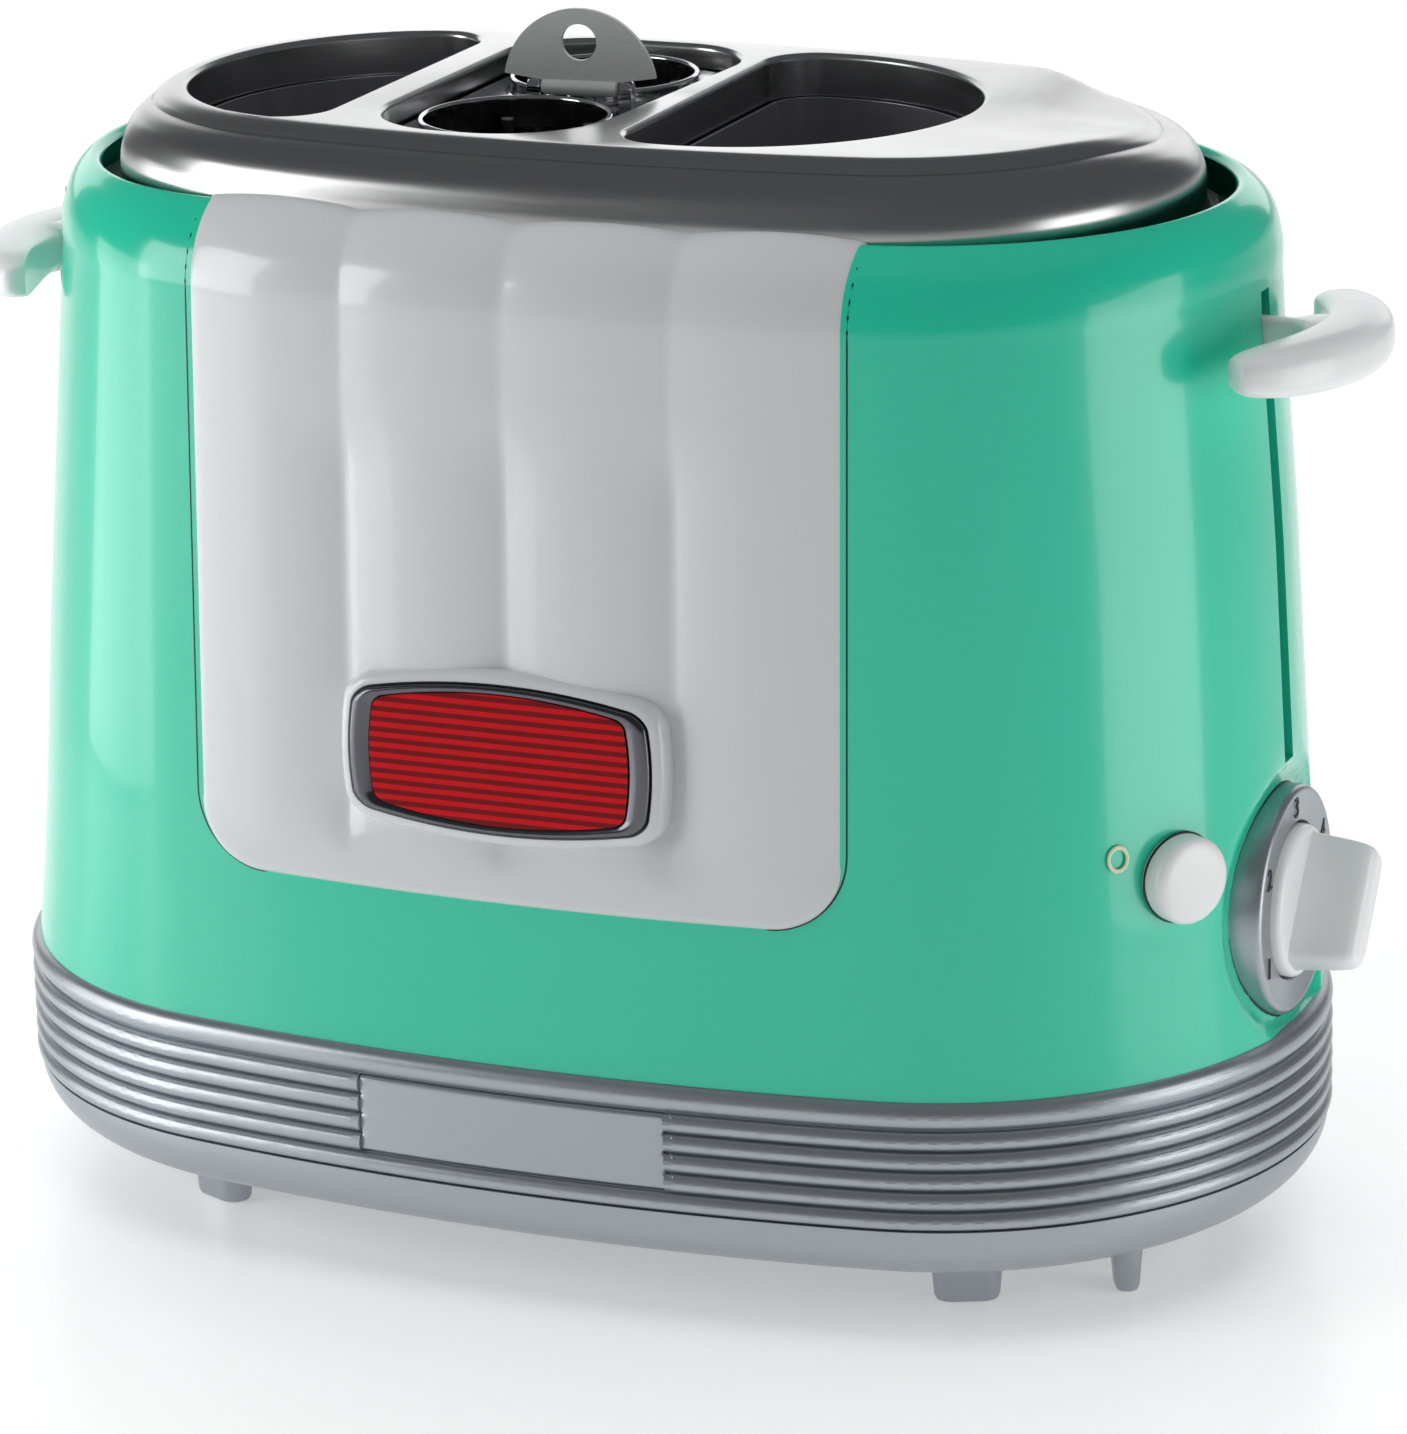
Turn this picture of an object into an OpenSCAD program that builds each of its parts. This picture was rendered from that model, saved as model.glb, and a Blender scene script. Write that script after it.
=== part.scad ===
// Hot dog toaster: an oval two-lever toaster with two bun wells and a lift-out sausage basket.
// X runs along the body (dial at +X), the panel faces -Y, Z is up and the feet stand on Z = 0.

/* [Body oval] */
// Length of the body where it meets the base
body_len = 250; // [244:1:256]
// Width of the body where it meets the base
body_wid = 146.2; // [144:0.2:150]

/* [Base] */
// Height of the feet under the pan
foot_h = 10; // [8:0.5:14]
// Length of one foot along the rim
foot_l = 13.5; // [10:0.5:16]
// Width of one foot across the rim
foot_w = 8; // [6:0.5:10]
// Distance of the corner feet from the middle, along X
foot_x = 75; // [68:1:80]
// Distance of the corner feet from the middle, along Y
foot_y = 41.5; // [36:0.5:44]
// Height of the smooth lower bowl
pan_h = 12; // [10:0.5:16]
// Height of the wide top rib
top_rib_h = 5.2; // [4:0.1:7]
// Pitch of the narrow ribs
rib_pitch = 3.75; // [3:0.05:4.5]
// Number of narrow ribs
rib_n = 5; // [4:1:6]
// How far the ribs stand out from the body oval
rib_out = 1.8; // [1.2:0.1:2.5]
// Wall of the base mouldings
base_wall = 2.4; // [2:0.1:3]
// Half length of the bare plate on the ribs
plate_half = 30; // [24:1:36]

/* [Shell] */
// Height of the shell's lip above the base
body_h = 150; // [140:1:160]
// Wall of the body shell
shell_wall = 2.4; // [1.8:0.1:3]
// How much the wall leans in for each millimetre of height
taper = 0.045; // [0.03:0.005:0.06]
// Height of the rounded shoulder below the lip
shoulder_h = 15; // [12:0.5:18]
// How far the lip lies inside the seam oval
lip_inset = 15.8; // [14:0.1:18]
// Width of the lever slots
slot_w = 4.4; // [4:0.1:5]

/* [Panel and badge] */
// Half width of the fluted panel
panel_half = 63.3; // [58:0.1:66]
// Lower edge of the panel above the base
panel_z = 30; // [26:1:34]
// Radius of the panel's lower corners
panel_corner = 14; // [8:1:18]
// How far the panel stands out from the shell
panel_proud = 1.1; // [0.6:0.1:1.4]
// Spacing of the creases
lobe_pitch = 31.5; // [28:0.5:31.5]
// Radius of the convex lobes
lobe_r = 33; // [28:1:40]
// Height above the base where the creases run out
crease_z = 37; // [35:1:42]
// Height of the badge centre above the base
badge_z = 57; // [54:1:66]
// Length of the badge bezel
badge_l = 58; // [50:1:60]
// Height of the badge bezel in its middle
badge_h = 26.7; // [22:0.1:28]
// Width of the bezel's rim
bezel_rim = 3; // [2:0.1:4]

/* [Lid] */
// Height of the lid above the lip
lid_rise = 12.4; // [10:0.1:14]
// Gap between lip and lid at the front and back
lid_gap = 0.6; // [0.5:0.1:1.5]
// Extra gap between lip and lid at the ends
lid_end_gap = 5.5; // [4:0.1:7]
// Radius of the lid's rounded edge
lid_edge_r = 12; // [8:0.5:12]
// Thickness of the steel sheet
sheet = 1.2; // [0.8:0.1:1.5]
// Depth of the turned-down rim round each opening
skirt_h = 12; // [9:0.5:13]
// Radius of the left bun well
well_l_r = 41.5; // [38:0.5:42]
// Radius of the right bun well
well_r_r = 40.5; // [38:0.5:41.5]
// Straight edge of the left bun well
well_l_x = -49; // [-51:0.5:-48]
// Straight edge of the right bun well
well_r_x = 10; // [9.5:0.5:13]
// Radius of the wells' corners
well_corner = 9; // [6:0.5:11]

/* [Basket] */
// Middle of the sausage basket
basket_x = -17.5; // [-18.5:0.5:-16.5]
// Width of the basket opening in the lid
basket_w = 46; // [44:0.5:47]
// Length of the basket opening in the lid
basket_l = 83; // [81:0.5:85]
// Distance of each sausage hole from the middle
hole_y = 19.8; // [19.6:0.1:20.5]
// Outer radius of the sausage holes' collars
collar_r = 17.6; // [16:0.1:18]
// Depth of the basket below its flange
cage_h = 118; // [100:1:120]
// Radius of the basket's rods
rod_r = 1.1; // [0.8:0.1:1.4]
// Radius of the half-moon lifting tab
tab_r = 14.6; // [12:0.1:16]
// Middle of the lifting tab
tab_x = -13.4; // [-14.5:0.1:-13]
// Turn of the tab about the vertical
tab_turn = 5.5; // [3:0.5:8]
// Radius of the finger hole in the tab
tab_hole_r = 3.35; // [2.5:0.05:4]

/* [Carriage and levers] */
// Height of the levers' middle above the base, raised
lever_z = 125; // [124:0.5:126]
// Stroke of the carriage down to the latch
stroke = 72; // [68:0.5:72]
// Extra lift of the carriage above its rest
lift = 4; // [2:0.5:4]
// Outer reach of the levers from the middle
lever_reach = 140; // [137:0.5:144]
// Thickness of the levers
lever_h = 10; // [8:0.5:12]
// Half width of the levers
lever_half = 27; // [22:1:29]
// Height of the carriage ring
ring_h = 6; // [5:0.5:7]
// Distance of the bun rests below the carriage ring
rest_drop = 44; // [40:1:46]
// Radius of the guide rods
guide_r = 2.5; // [2:0.1:3]

/* [Dial and button] */
// Height of the dial above the base
dial_z = 21.7; // [21.6:0.1:24]
// Outer radius of the dial ring at its face
dial_r = 20.6; // [19:0.1:20.8]
// How far the dial ring's face lies from the middle
dial_x = 123.5; // [122:0.5:126]
// Radius of the knob's round base
knob_r = 13.9; // [13:0.1:15.5]
// Thickness of the knob's grip
grip_w = 9; // [7:0.5:11]
// Angle of the grip from upright, at the off mark
grip_turn = 36; // [20:1:40]
// Height of the stop button above the base
button_z = 36; // [34:0.5:38]
// Angle of the stop button round the end of the body
button_a = 31.3; // [30:0.1:33]
// Radius of the stop button
button_r = 7.9; // [6:0.1:8]
// How far the stop button stands out
button_out = 4; // [3.5:0.1:5]

/* [Fits] */
// Radial clearance of a running fit
run_fit = 0.06; // [0.04:0.01:0.1]
// Gap between pieces that only sit side by side
gap = 0.3; // [0.2:0.05:0.4]

/* [Hidden] */
$fn = 120;

mint = [0.22, 0.80, 0.67];
cream = [0.92, 0.93, 0.93];
steel = [0.74, 0.75, 0.77];
satin = [0.66, 0.69, 0.71];
dark = [0.20, 0.20, 0.22];
mica = [0.72, 0.66, 0.52];
zinc = [0.62, 0.64, 0.66];

half_w = body_wid / 2;
// Each oval is two end arcs and two side arcs that meet on lines of slope 84 / 13, so every centre is exact
oval_k = round((body_len / 2 - half_w) / 12 * 1000) / 1000;
end_r = half_w - oval_k;
end_c = 13 * oval_k;
side_c = 84 * oval_k;
side_r = 85 * oval_k + end_r;
join_a = atan2(84, 13);
seam_z = foot_h + pan_h + top_rib_h + rib_n * rib_pitch;
lip_z = seam_z + body_h;
lid_z = lip_z + lid_rise;
lean = atan(taper);

// The shoulder is one arc that starts on the leaning wall and ends at the lip
wall_h = body_h - shoulder_h;
wall_in = taper * wall_h;
shoulder_dx = lip_inset - wall_in;
shoulder_r = (shoulder_h * shoulder_h + shoulder_dx * shoulder_dx) / (2 * shoulder_dx);
shoulder_a = 2 * atan(shoulder_dx / shoulder_h);

// Lid oval
lid_half_w = half_w - lip_inset - lid_gap;
lid_k = round((body_len / 2 - lip_inset - lid_end_gap - lid_half_w) / 12 * 100) / 100;
lid_end_r = lid_half_w - lid_k;
lid_c = 13 * lid_k;
lid_half_l = lid_c + lid_end_r;
plate_th = sheet;
plate_z = seam_z + 142;
chassis_th = sheet;

// Basket, from the lid down
opening_gap = 1.2;
flange_z = lid_z - 5.6;
collar_z = lid_z - 1.4;
hinge_z = lid_z - 0.2;
cage_r = collar_r - 1.4;
pin_r = 0.8;
knuckle_r = 1.5;
tab_th = 1;
ear_gap = 0.3;

// Carriage
slot_z0 = lever_z - stroke - 5;
slot_z1 = lever_z + lift + 5;
ring_out = 20.5;
ring_in = 23.5;
ring_z = seam_z + lever_z;
arm_w = 2;
arm_h = 7;
lug_x = end_c + end_r - 22.5;
lug_y = 25;
lug_r = 5.8;
bush_r = 4;
rest_z = ring_z - rest_drop;
wall_low = end_r - taper * (lever_z - stroke);
lever_in_r = wall_low + 1.2;
lever_out_r = lever_reach - end_c;
magnet_x = end_c + 27.1;
magnet_y = 38;
magnet_top = ring_z - ring_h / 2 - 2 - stroke - 0.4;

// Dial, knob and button
shaft_r = 3;
board_x = end_c + end_r - 39.4;
wall_button = end_r - taper * button_z;
button_travel = 3;

// Wells as plan outlines: a half disc with rounded corners on its straight edge
well_l_c = well_l_x + 2;
well_r_c = well_r_x + 11.5;

function arc(cx, cy, r, a0, a1, n) =
    [for (i = [0:n]) [cx + r * cos(a0 + (a1 - a0) * i / n), cy + r * sin(a0 + (a1 - a0) * i / n)]];

// side is 1 for a well that bulges to +X; grow moves the whole outline outwards
function well_pts(edge, cx, r, side, grow) =
    let (qx = edge + side * well_corner,
        qy = sqrt(pow(r - well_corner, 2) - pow(qx - cx, 2)),
        a = atan2(qy, side * (qx - cx)),
        pts = concat(
            arc(side * cx, 0, r + grow, -a, a, 36),
            arc(side * qx, qy, well_corner + grow, a, 180, 10),
            arc(side * qx, -qy, well_corner + grow, 180, 360 - a, 10)))
    [for (p = pts) [side * p[0], p[1]]];

function basket_pts(grow) =
    let (w = basket_w / 2, l = basket_l / 2, rf = 19, rb = 15)
    concat(
        arc(basket_x + w - 3 - rf, -l + rf, rf + grow, -90, 0, 10),
        arc(basket_x + w - rb, l - rb, rb + grow, 0, 90, 10),
        arc(basket_x - w + rb, l - rb, rb + grow, 90, 180, 10),
        arc(basket_x - w + rf, -l + rf, rf + grow, 180, 270, 10));

function left_well(grow) = well_pts(well_l_x, well_l_c, well_l_r, -1, grow);
function right_well(grow) = well_pts(well_r_x, well_r_c, well_r_r, 1, grow);

// Barrel outline: bulging top, bottom and ends, with rounded corners
function barrel(l, h, grow) =
    let (n = 12, x = l / 2, z = h / 2, ex = 0.86, ez = 0.78)
    [for (q = [0:3], i = [0:n - 1])
        let (a = 90 * q + 90 * i / n, c = cos(a), s = sin(a))
        [sign(c) * pow(abs(c), 0.38) * (x + grow) * (1 - 0.05 * pow(abs(s), 2)),
            sign(s) * pow(abs(s), 0.38) * (z + grow) * (1 - 0.16 * pow(abs(c), 2))]];

// Half width in Y of the seam oval, moved inwards, at a given x
function oval_y(x, inset) =
    abs(x) < end_c + (end_r - inset) * cos(join_a)
    ? -side_c + sqrt(pow(side_r - inset, 2) - x * x)
    : sqrt(pow(end_r - inset, 2) - pow(abs(x) - end_c, 2));

// Plan regions of an end arc and of a side arc, apart along the lines through both centres
module end_region(k) {
    x = 13 * k * 1.5;
    y = 84 * k / 2;
    polygon([[13 * k, 0], [x, -y], [x + body_len, -y], [x + body_len, y], [x, y]]);
}

module side_region(k) {
    x = 13 * k * 1.5;
    polygon([[13 * k, 0], [x, 42 * k], [-x, 42 * k], [-13 * k, 0]]);
}

// Sweeps a profile drawn in (outward, z) round an oval
module oval_sweep(k = oval_k, r = end_r) {
    for (s = [0, 180]) rotate([0, 0, s]) {
        intersection() {
            translate([13 * k, 0, 0]) rotate([0, 0, 180]) rotate_extrude() translate([r, 0]) children();
            translate([0, 0, -50]) linear_extrude(400) end_region(k);
        }
        intersection() {
            translate([0, -84 * k, 0]) rotate_extrude($fn = 720) translate([85 * k + r, 0]) children();
            translate([0, 0, -50]) linear_extrude(400) side_region(k);
        }
    }
}

module oval_plan(grow, k = oval_k, r = end_r) {
    for (s = [0, 180]) rotate([0, 0, s]) {
        intersection() {
            translate([13 * k, 0]) circle(r + grow);
            end_region(k);
        }
        intersection() {
            translate([0, -84 * k]) circle(85 * k + r + grow, $fn = 720);
            side_region(k);
        }
    }
}

module oval_plate(grow, z, th) {
    translate([0, 0, z]) linear_extrude(th) oval_plan(grow);
}

module lid_sweep() {
    oval_sweep(lid_k, lid_end_r) children();
}

// Wall of the shell between two offsets from its outer face, up to the lip
module wall_profile(out, back) {
    // The inner face stops at the lip, clear of the lid
    inner_a = acos((wall_in + shoulder_r - lip_inset) / (shoulder_r - back));
    polygon(concat(
        [[out, seam_z], [out - wall_in, seam_z + wall_h]],
        arc(-wall_in - shoulder_r, seam_z + wall_h, shoulder_r + out, 6, shoulder_a, 10),
        arc(-wall_in - shoulder_r, seam_z + wall_h, shoulder_r - back, inner_a, 6, 10),
        [[-back - wall_in, seam_z + wall_h], [-back, seam_z]]));
}

// Turns the front wall's own frame (x, outwards, up) onto the leaning front wall at a height
module on_front(z) {
    translate([0, -half_w + taper * z, seam_z + z]) rotate([-lean, 0, 0]) children();
}

// Plane of the body's end, local x pointing out through the wall
module on_end(angle, z) {
    translate([end_c, 0, seam_z + z]) rotate([0, 0, -angle]) children();
}

module rod_x(r, x0, x1) {
    translate([x0, 0, 0]) rotate([0, 90, 0]) cylinder(r = r, h = x1 - x0);
}

// ---- Base ----
module pan_profile(wall) {
    w = 15;
    polygon(concat(
        [for (i = [0:12]) [1 - w * (1 - cos(90 * i / 12)), foot_h + pan_h - pan_h * sin(90 * i / 12)]],
        [[1 - w - 3, foot_h], [1 - w - 3, foot_h + wall]],
        [for (i = [12:-1:0]) [1 - wall - (w - wall) * (1 - cos(90 * i / 12)),
            foot_h + pan_h - (pan_h - wall) * sin(90 * i / 12)]]));
}

post_x = end_c + 35;
post_y = 22;

module base_pan() {
    color(satin) difference() {
        union() {
            oval_sweep() pan_profile(base_wall);
            oval_plate(-16, foot_h, base_wall);
            for (x = [-1, 1], y = [-1, 1]) translate([x * post_x, y * post_y, foot_h])
                cylinder(r = 4.6, h = seam_z - foot_h);
            for (x = [-1, 1]) translate([x * 50 - 2, -44, foot_h + base_wall / 2])
                cube([4, 92, tray_z - gap - foot_h - base_wall / 2]);
        }
        for (x = [-1, 1], y = [-1, 1]) translate([x * post_x, y * post_y, foot_h - 1]) {
            cylinder(r = 1.7, h = seam_z);
            cylinder(r = 3.4, h = 3.6);
        }
        // Air slots in the floor
        for (i = [-4:4]) translate([i * 9 - 1.5, -20, foot_h - 1]) cube([3, 40, base_wall + 2]);
    }
}

// One rib's bulge, from its lower to its upper edge, with a narrow flat groove left beside it
function rib(zc, chord, out) =
    let (c = chord - 0.4, r = (c * c / 4 + out * out) / (2 * out), a = asin(c / 2 / r))
    concat([[0, zc - c / 2]], arc(out - r, zc, r, -a * 0.84, a * 0.84, 6), [[0, zc + c / 2]]);

module ring_profile() {
    polygon(concat(
        [for (k = [0:rib_n - 1]) each rib(foot_h + pan_h + (k + 0.5) * rib_pitch, rib_pitch, rib_out)],
        rib(seam_z - top_rib_h / 2, top_rib_h, rib_out),
        [[-8, seam_z], [-8, seam_z - 1.6], [-base_wall, seam_z - 1.6],
            [-base_wall, foot_h + pan_h], [0, foot_h + pan_h]]));
}

plate_z0 = foot_h + pan_h + rib_pitch;
plate_z1 = seam_z - top_rib_h - 0.1;
tray_z = foot_h + pan_h + 1.5;
tray_h = 9;
tray_half = 58;
gland_a = 50;
gland_z = seam_z - 12;

module tray_window(grow) {
    translate([-tray_half - grow, 20, tray_z - grow]) cube([2 * (tray_half + grow), 80, tray_h + 2 * grow]);
}

module base_ring() {
    color(satin) difference() {
        oval_sweep() ring_profile();
        // Pocket for the bare plate
        intersection() {
            oval_sweep() translate([-0.7, plate_z0]) square([5, plate_z1 - plate_z0]);
            translate([-plate_half, -100, 0]) cube([2 * plate_half, 80, 100]);
        }
        tray_window(gap);
        on_gland() rod_x(6 + gap, end_r - 12, end_r + 6);
    }
}

module nameplate() {
    color(satin) intersection() {
        oval_sweep() translate([-0.62, plate_z0 + 0.15]) square([1.62, plate_z1 - plate_z0 - 0.3]);
        translate([-plate_half + 0.15, -100, 0]) cube([2 * plate_half - 0.3, 80, 100]);
    }
}

module foot(l, w) {
    hull() {
        for (s = [-1, 1]) translate([s * (l - w) / 2, 0, 0]) {
            cylinder(r = w / 2 - 0.9, h = 0.1, $fn = 32);
            translate([0, 0, foot_h - 0.1]) cylinder(r = w / 2, h = 0.1, $fn = 32);
        }
    }
}

module feet() {
    color(satin) for (x = [-1, 1], y = [-1, 1]) translate([x * foot_x, y * foot_y, 0])
        rotate([0, 0, -x * y * 24]) foot(foot_l, foot_w);
}

module end_feet() {
    color(satin) for (y = [-1, 1]) translate([end_c + 44, y * 27, 0]) rotate([0, 0, y * 62])
        foot(foot_l - 5, foot_w - 2);
}

module base_screws() {
    color(zinc) for (x = [-1, 1], y = [-1, 1]) translate([x * post_x, y * post_y, foot_h + 0.6]) {
        difference() {
            cylinder(r = 3, h = 2);
            translate([-2.2, -0.35, -1]) cube([4.4, 0.7, 2]);
            translate([-0.35, -2.2, -1]) cube([0.7, 4.4, 2]);
        }
        cylinder(r = 1.45, h = seam_z - foot_h + chassis_th - 0.7);
    }
}

module crumb_tray() {
    inner_y = 46;
    color(zinc) {
        difference() {
            translate([-tray_half + 1, -inner_y, tray_z]) cube([2 * tray_half - 2, inner_y + 66, tray_h - 1.5]);
            translate([-tray_half + 2, -inner_y + 1, tray_z + 0.9])
                cube([2 * tray_half - 4, inner_y + 62, tray_h]);
            // Recess in which the fingers pull the tray
            translate([-16, 60, tray_z - 1]) cube([32, 20, 4.5]);
        }
        difference() {
            intersection() {
                oval_sweep() translate([-6, tray_z]) square([6 + rib_out - 0.3, tray_h]);
                tray_window(0);
            }
            translate([-16, 60, tray_z - 1]) cube([32, 20, 4.5]);
        }
    }
}

module on_gland() {
    translate([end_c, 0, gland_z]) rotate([0, 0, gland_a]) children();
}

module cord_gland() {
    color(dark) on_gland() difference() {
        union() {
            rod_x(6, end_r - 8, end_r + 3.5);
            rod_x(8, end_r + 1.9, end_r + 4);
            rod_x(7.6, end_r - 7, end_r - 4.6);
        }
        rod_x(3.6, end_r - 10, end_r + 6);
    }
}

// ---- Inner frame ----
module chassis_plate() {
    color(zinc) difference() {
        oval_plate(-3.4, seam_z, chassis_th);
        translate([0, 0, seam_z - 1]) linear_extrude(3) {
            polygon(left_well(-5));
            polygon(right_well(-5));
            polygon(basket_pts(-5));
        }
        for (x = [-1, 1], y = [-1, 1]) translate([x * post_x, y * post_y, seam_z - 1]) cylinder(r = 1.55, h = 4);
        // Notch that clears the dial cup
        translate([dial_x - 21, -dial_r - 3, seam_z - 1]) cube([40, 2 * dial_r + 6, 4]);
    }
}

module upper_plate() {
    color(zinc) difference() {
        union() {
            oval_plate(-17, plate_z, plate_th);
            for (x = [-1, 1], y = [-1, 1]) translate([x * lug_x, y * lug_y, plate_z]) cylinder(r = 4.2, h = plate_th);
        }
        translate([0, 0, plate_z - 1]) linear_extrude(3) {
            polygon(left_well(-0.2));
            polygon(right_well(-0.2));
            polygon(basket_pts(1));
        }
        for (s = [-1, 1]) translate([s * lug_x, s * lug_y, plate_z - 1]) cylinder(r = guide_r + 0.05, h = 4);
    }
}

liner_top = lid_z - 8;

// Sheet tube that lines a bun well, with heating slots and slots for the bun rest
module bun_liner(outer, inner, x0, edge_x) {
    z0 = seam_z + chassis_th;
    difference() {
        translate([0, 0, z0]) linear_extrude(liner_top - z0) difference() {
            polygon(outer);
            polygon(inner);
        }
        for (s = [-1, 1]) translate([x0 + s * 5 - 2, -60, rest_z - stroke - 3])
            cube([4, 120, stroke + 16]);
        for (i = [-3:3]) translate([edge_x - 12, i * 9 - 2.5, z0 + 14]) cube([24, 5, 112]);
    }
}

rest_l_x = well_l_x - 17;
rest_r_x = well_r_x + 26;

module bun_liner_left() {
    color(zinc) bun_liner(left_well(-0.7), left_well(-1.5), rest_l_x, well_l_x);
}

module bun_liner_right() {
    color(zinc) bun_liner(right_well(-0.7), right_well(-1.5), rest_r_x, well_r_x);
}

board_h = 126;
board_z = seam_z + chassis_th;
board_th = 0.8;
board_ol = well_l_c - well_l_r - 2.4;
board_il = well_l_x + 2.6;
board_ir = well_r_x - 3;
board_or = well_r_c + well_r_r + 2.4;

module basket_guides() {
    color(zinc) for (s = [-1, 1]) translate([board_il + 1.4, s * (basket_l / 2 + 1.6) - 0.4, board_z])
        cube([board_ir - board_il - 2.8, 0.8, plate_z - board_z]);
}

module heater_board(x, half) {
    color(mica) translate([x - board_th / 2, -half, board_z]) cube([board_th, 2 * half, board_h]);
}

// Resistance ribbon wound round a board, seen as level turns on both faces
module heater_ribbon(x, half) {
    color(steel) for (i = [1:13], s = [-1, 1])
        translate([x + s * (board_th / 2 + 0.15) - 0.15, -half + 1.5, board_z + 6 + i * 8.5])
            cube([0.3, 2 * half - 3, 1.6]);
}

module board_outer_left() heater_board(board_ol, 25);
module board_inner_left() heater_board(board_il, 36);
module board_inner_right() heater_board(board_ir, 36);
module board_outer_right() heater_board(board_or, 30);
module heater_outer_left() heater_ribbon(board_ol, 25);
module heater_inner_left() heater_ribbon(board_il, 36);
module heater_inner_right() heater_ribbon(board_ir, 36);
module heater_outer_right() heater_ribbon(board_or, 30);

module heat_shield(x, half, lip) {
    color(zinc) {
        translate([x - 0.4, -half, board_z]) cube([0.8, 2 * half, plate_z - board_z]);
        translate([x + min(0, lip), -half, board_z]) cube([abs(lip), 2 * half, 0.8]);
    }
}

module heat_shield_left() heat_shield(board_ol - 2.4, 24, -4);
module heat_shield_right() heat_shield(board_or + 3, 31, 6);

module guide_rod(s) {
    color(steel) translate([s * lug_x, s * lug_y, seam_z + chassis_th])
        cylinder(r = guide_r, h = plate_z + plate_th + 1 - seam_z - chassis_th);
}

module guide_rod_left() guide_rod(-1);
module guide_rod_right() guide_rod(1);

// Open coil of round wire with closed ends
module coil(r, wire, h, turns) {
    sides = 6;
    per = 14;
    n = turns * per;
    pts = [for (i = [0:n], j = [0:sides - 1])
        let (a = 360 * i / per, b = 360 * j / sides, q = r + wire * cos(b))
        [q * cos(a), q * sin(a), wire + (h - 2 * wire) * i / n + wire * sin(b)]];
    faces = concat(
        [[for (j = [0:sides - 1]) j]],
        [for (i = [0:n - 1], j = [0:sides - 1]) [i * sides + j, (i + 1) * sides + j, i * sides + (j + 1) % sides]],
        [for (i = [0:n - 1], j = [0:sides - 1])
            [(i + 1) * sides + j, (i + 1) * sides + (j + 1) % sides, i * sides + (j + 1) % sides]],
        [[for (j = [sides - 1:-1:0]) n * sides + j]]);
    polyhedron(pts, faces);
}

module return_spring(s) {
    z0 = ring_z + ring_h / 2;
    color(steel) translate([s * lug_x, -s * lug_y, z0 + 0.05]) coil(3, 0.45, plate_z - z0 - 0.1, 9);
}

module return_spring_left() return_spring(-1);
module return_spring_right() return_spring(1);

module electromagnet() {
    z0 = seam_z + chassis_th;
    color([0.55, 0.30, 0.16]) {
        translate([magnet_x, magnet_y, z0 + 8]) cylinder(r = 6.5, h = magnet_top - z0 - 12);
        translate([magnet_x, magnet_y, z0]) cylinder(r = 4, h = magnet_top - z0);
    }
}

module control_board() {
    color([0.12, 0.38, 0.22]) {
        translate([board_x, -34, seam_z + chassis_th]) cube([1.6, 62, 44]);
        translate([board_x + 1.6, -26, seam_z + button_z - 4]) cube([4.6, 8, 8]);
        translate([board_x + 1.6, -14, seam_z + 4]) cube([9, 5, 8]);
        translate([board_x + 1.6, 8, seam_z + 30]) cube([6, 10, 10]);
    }
}

module on_dial() {
    translate([0, 0, seam_z + dial_z]) children();
}

module timer_pot() {
    color(zinc) on_dial() difference() {
        union() {
            rod_x(8, board_x + 1.6, dial_x - 22);
            rod_x(4.5, dial_x - 22.5, dial_x - 17.6);
        }
        rod_x(shaft_r + run_fit, dial_x - 26, dial_x);
    }
}

module terminal_block() {
    color(cream) translate([board_x - 14, -42, seam_z + chassis_th]) difference() {
        cube([12, 9, 9]);
        for (i = [0:1]) translate([1.5 + i * 5.2, -1, 3]) cube([3.6, 11, 3.6]);
    }
}

// ---- Shell, panel and badge ----
module panel_outline(grow) {
    r = panel_corner + grow;
    polygon(concat(
        [[panel_half + grow, body_h + 30], [-panel_half - grow, body_h + 30]],
        arc(-panel_half + panel_corner, panel_z + panel_corner, r, 180, 270, 12),
        arc(panel_half - panel_corner, panel_z + panel_corner, r, 270, 360, 12)));
}

module panel_prism(grow) {
    translate([0, -20, seam_z]) rotate([90, 0, 0]) linear_extrude(90) panel_outline(grow);
}

module body_shell() {
    color(mint) difference() {
        oval_sweep() wall_profile(0, shell_wall);
        panel_prism(gap);
        for (s = [-1, 1]) translate([s * (end_c + end_r - 12) - 20, -slot_w / 2, seam_z + slot_z0])
            cube([40, slot_w, slot_z1 - slot_z0]);
        on_dial() rod_x(dial_r + 0.4 + gap, end_c + 30, end_c + 90);
        on_end(button_a, button_z) rod_x(button_r + gap, wall_button - 8, wall_button + 8);
    }
}

// Cross-section of the groove between two convex lobes, x across and y outwards
module groove_plan(base) {
    half = lobe_pitch / 2;
    crest = base + panel_proud + 0.15 - half * half / 2 / side_r;
    difference() {
        translate([-half + 1.4, base - 6]) square([lobe_pitch - 2.8, 13]);
        for (s = [-1, 1]) translate([s * half, crest - lobe_r]) circle(lobe_r, $fn = 360);
    }
}

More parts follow.
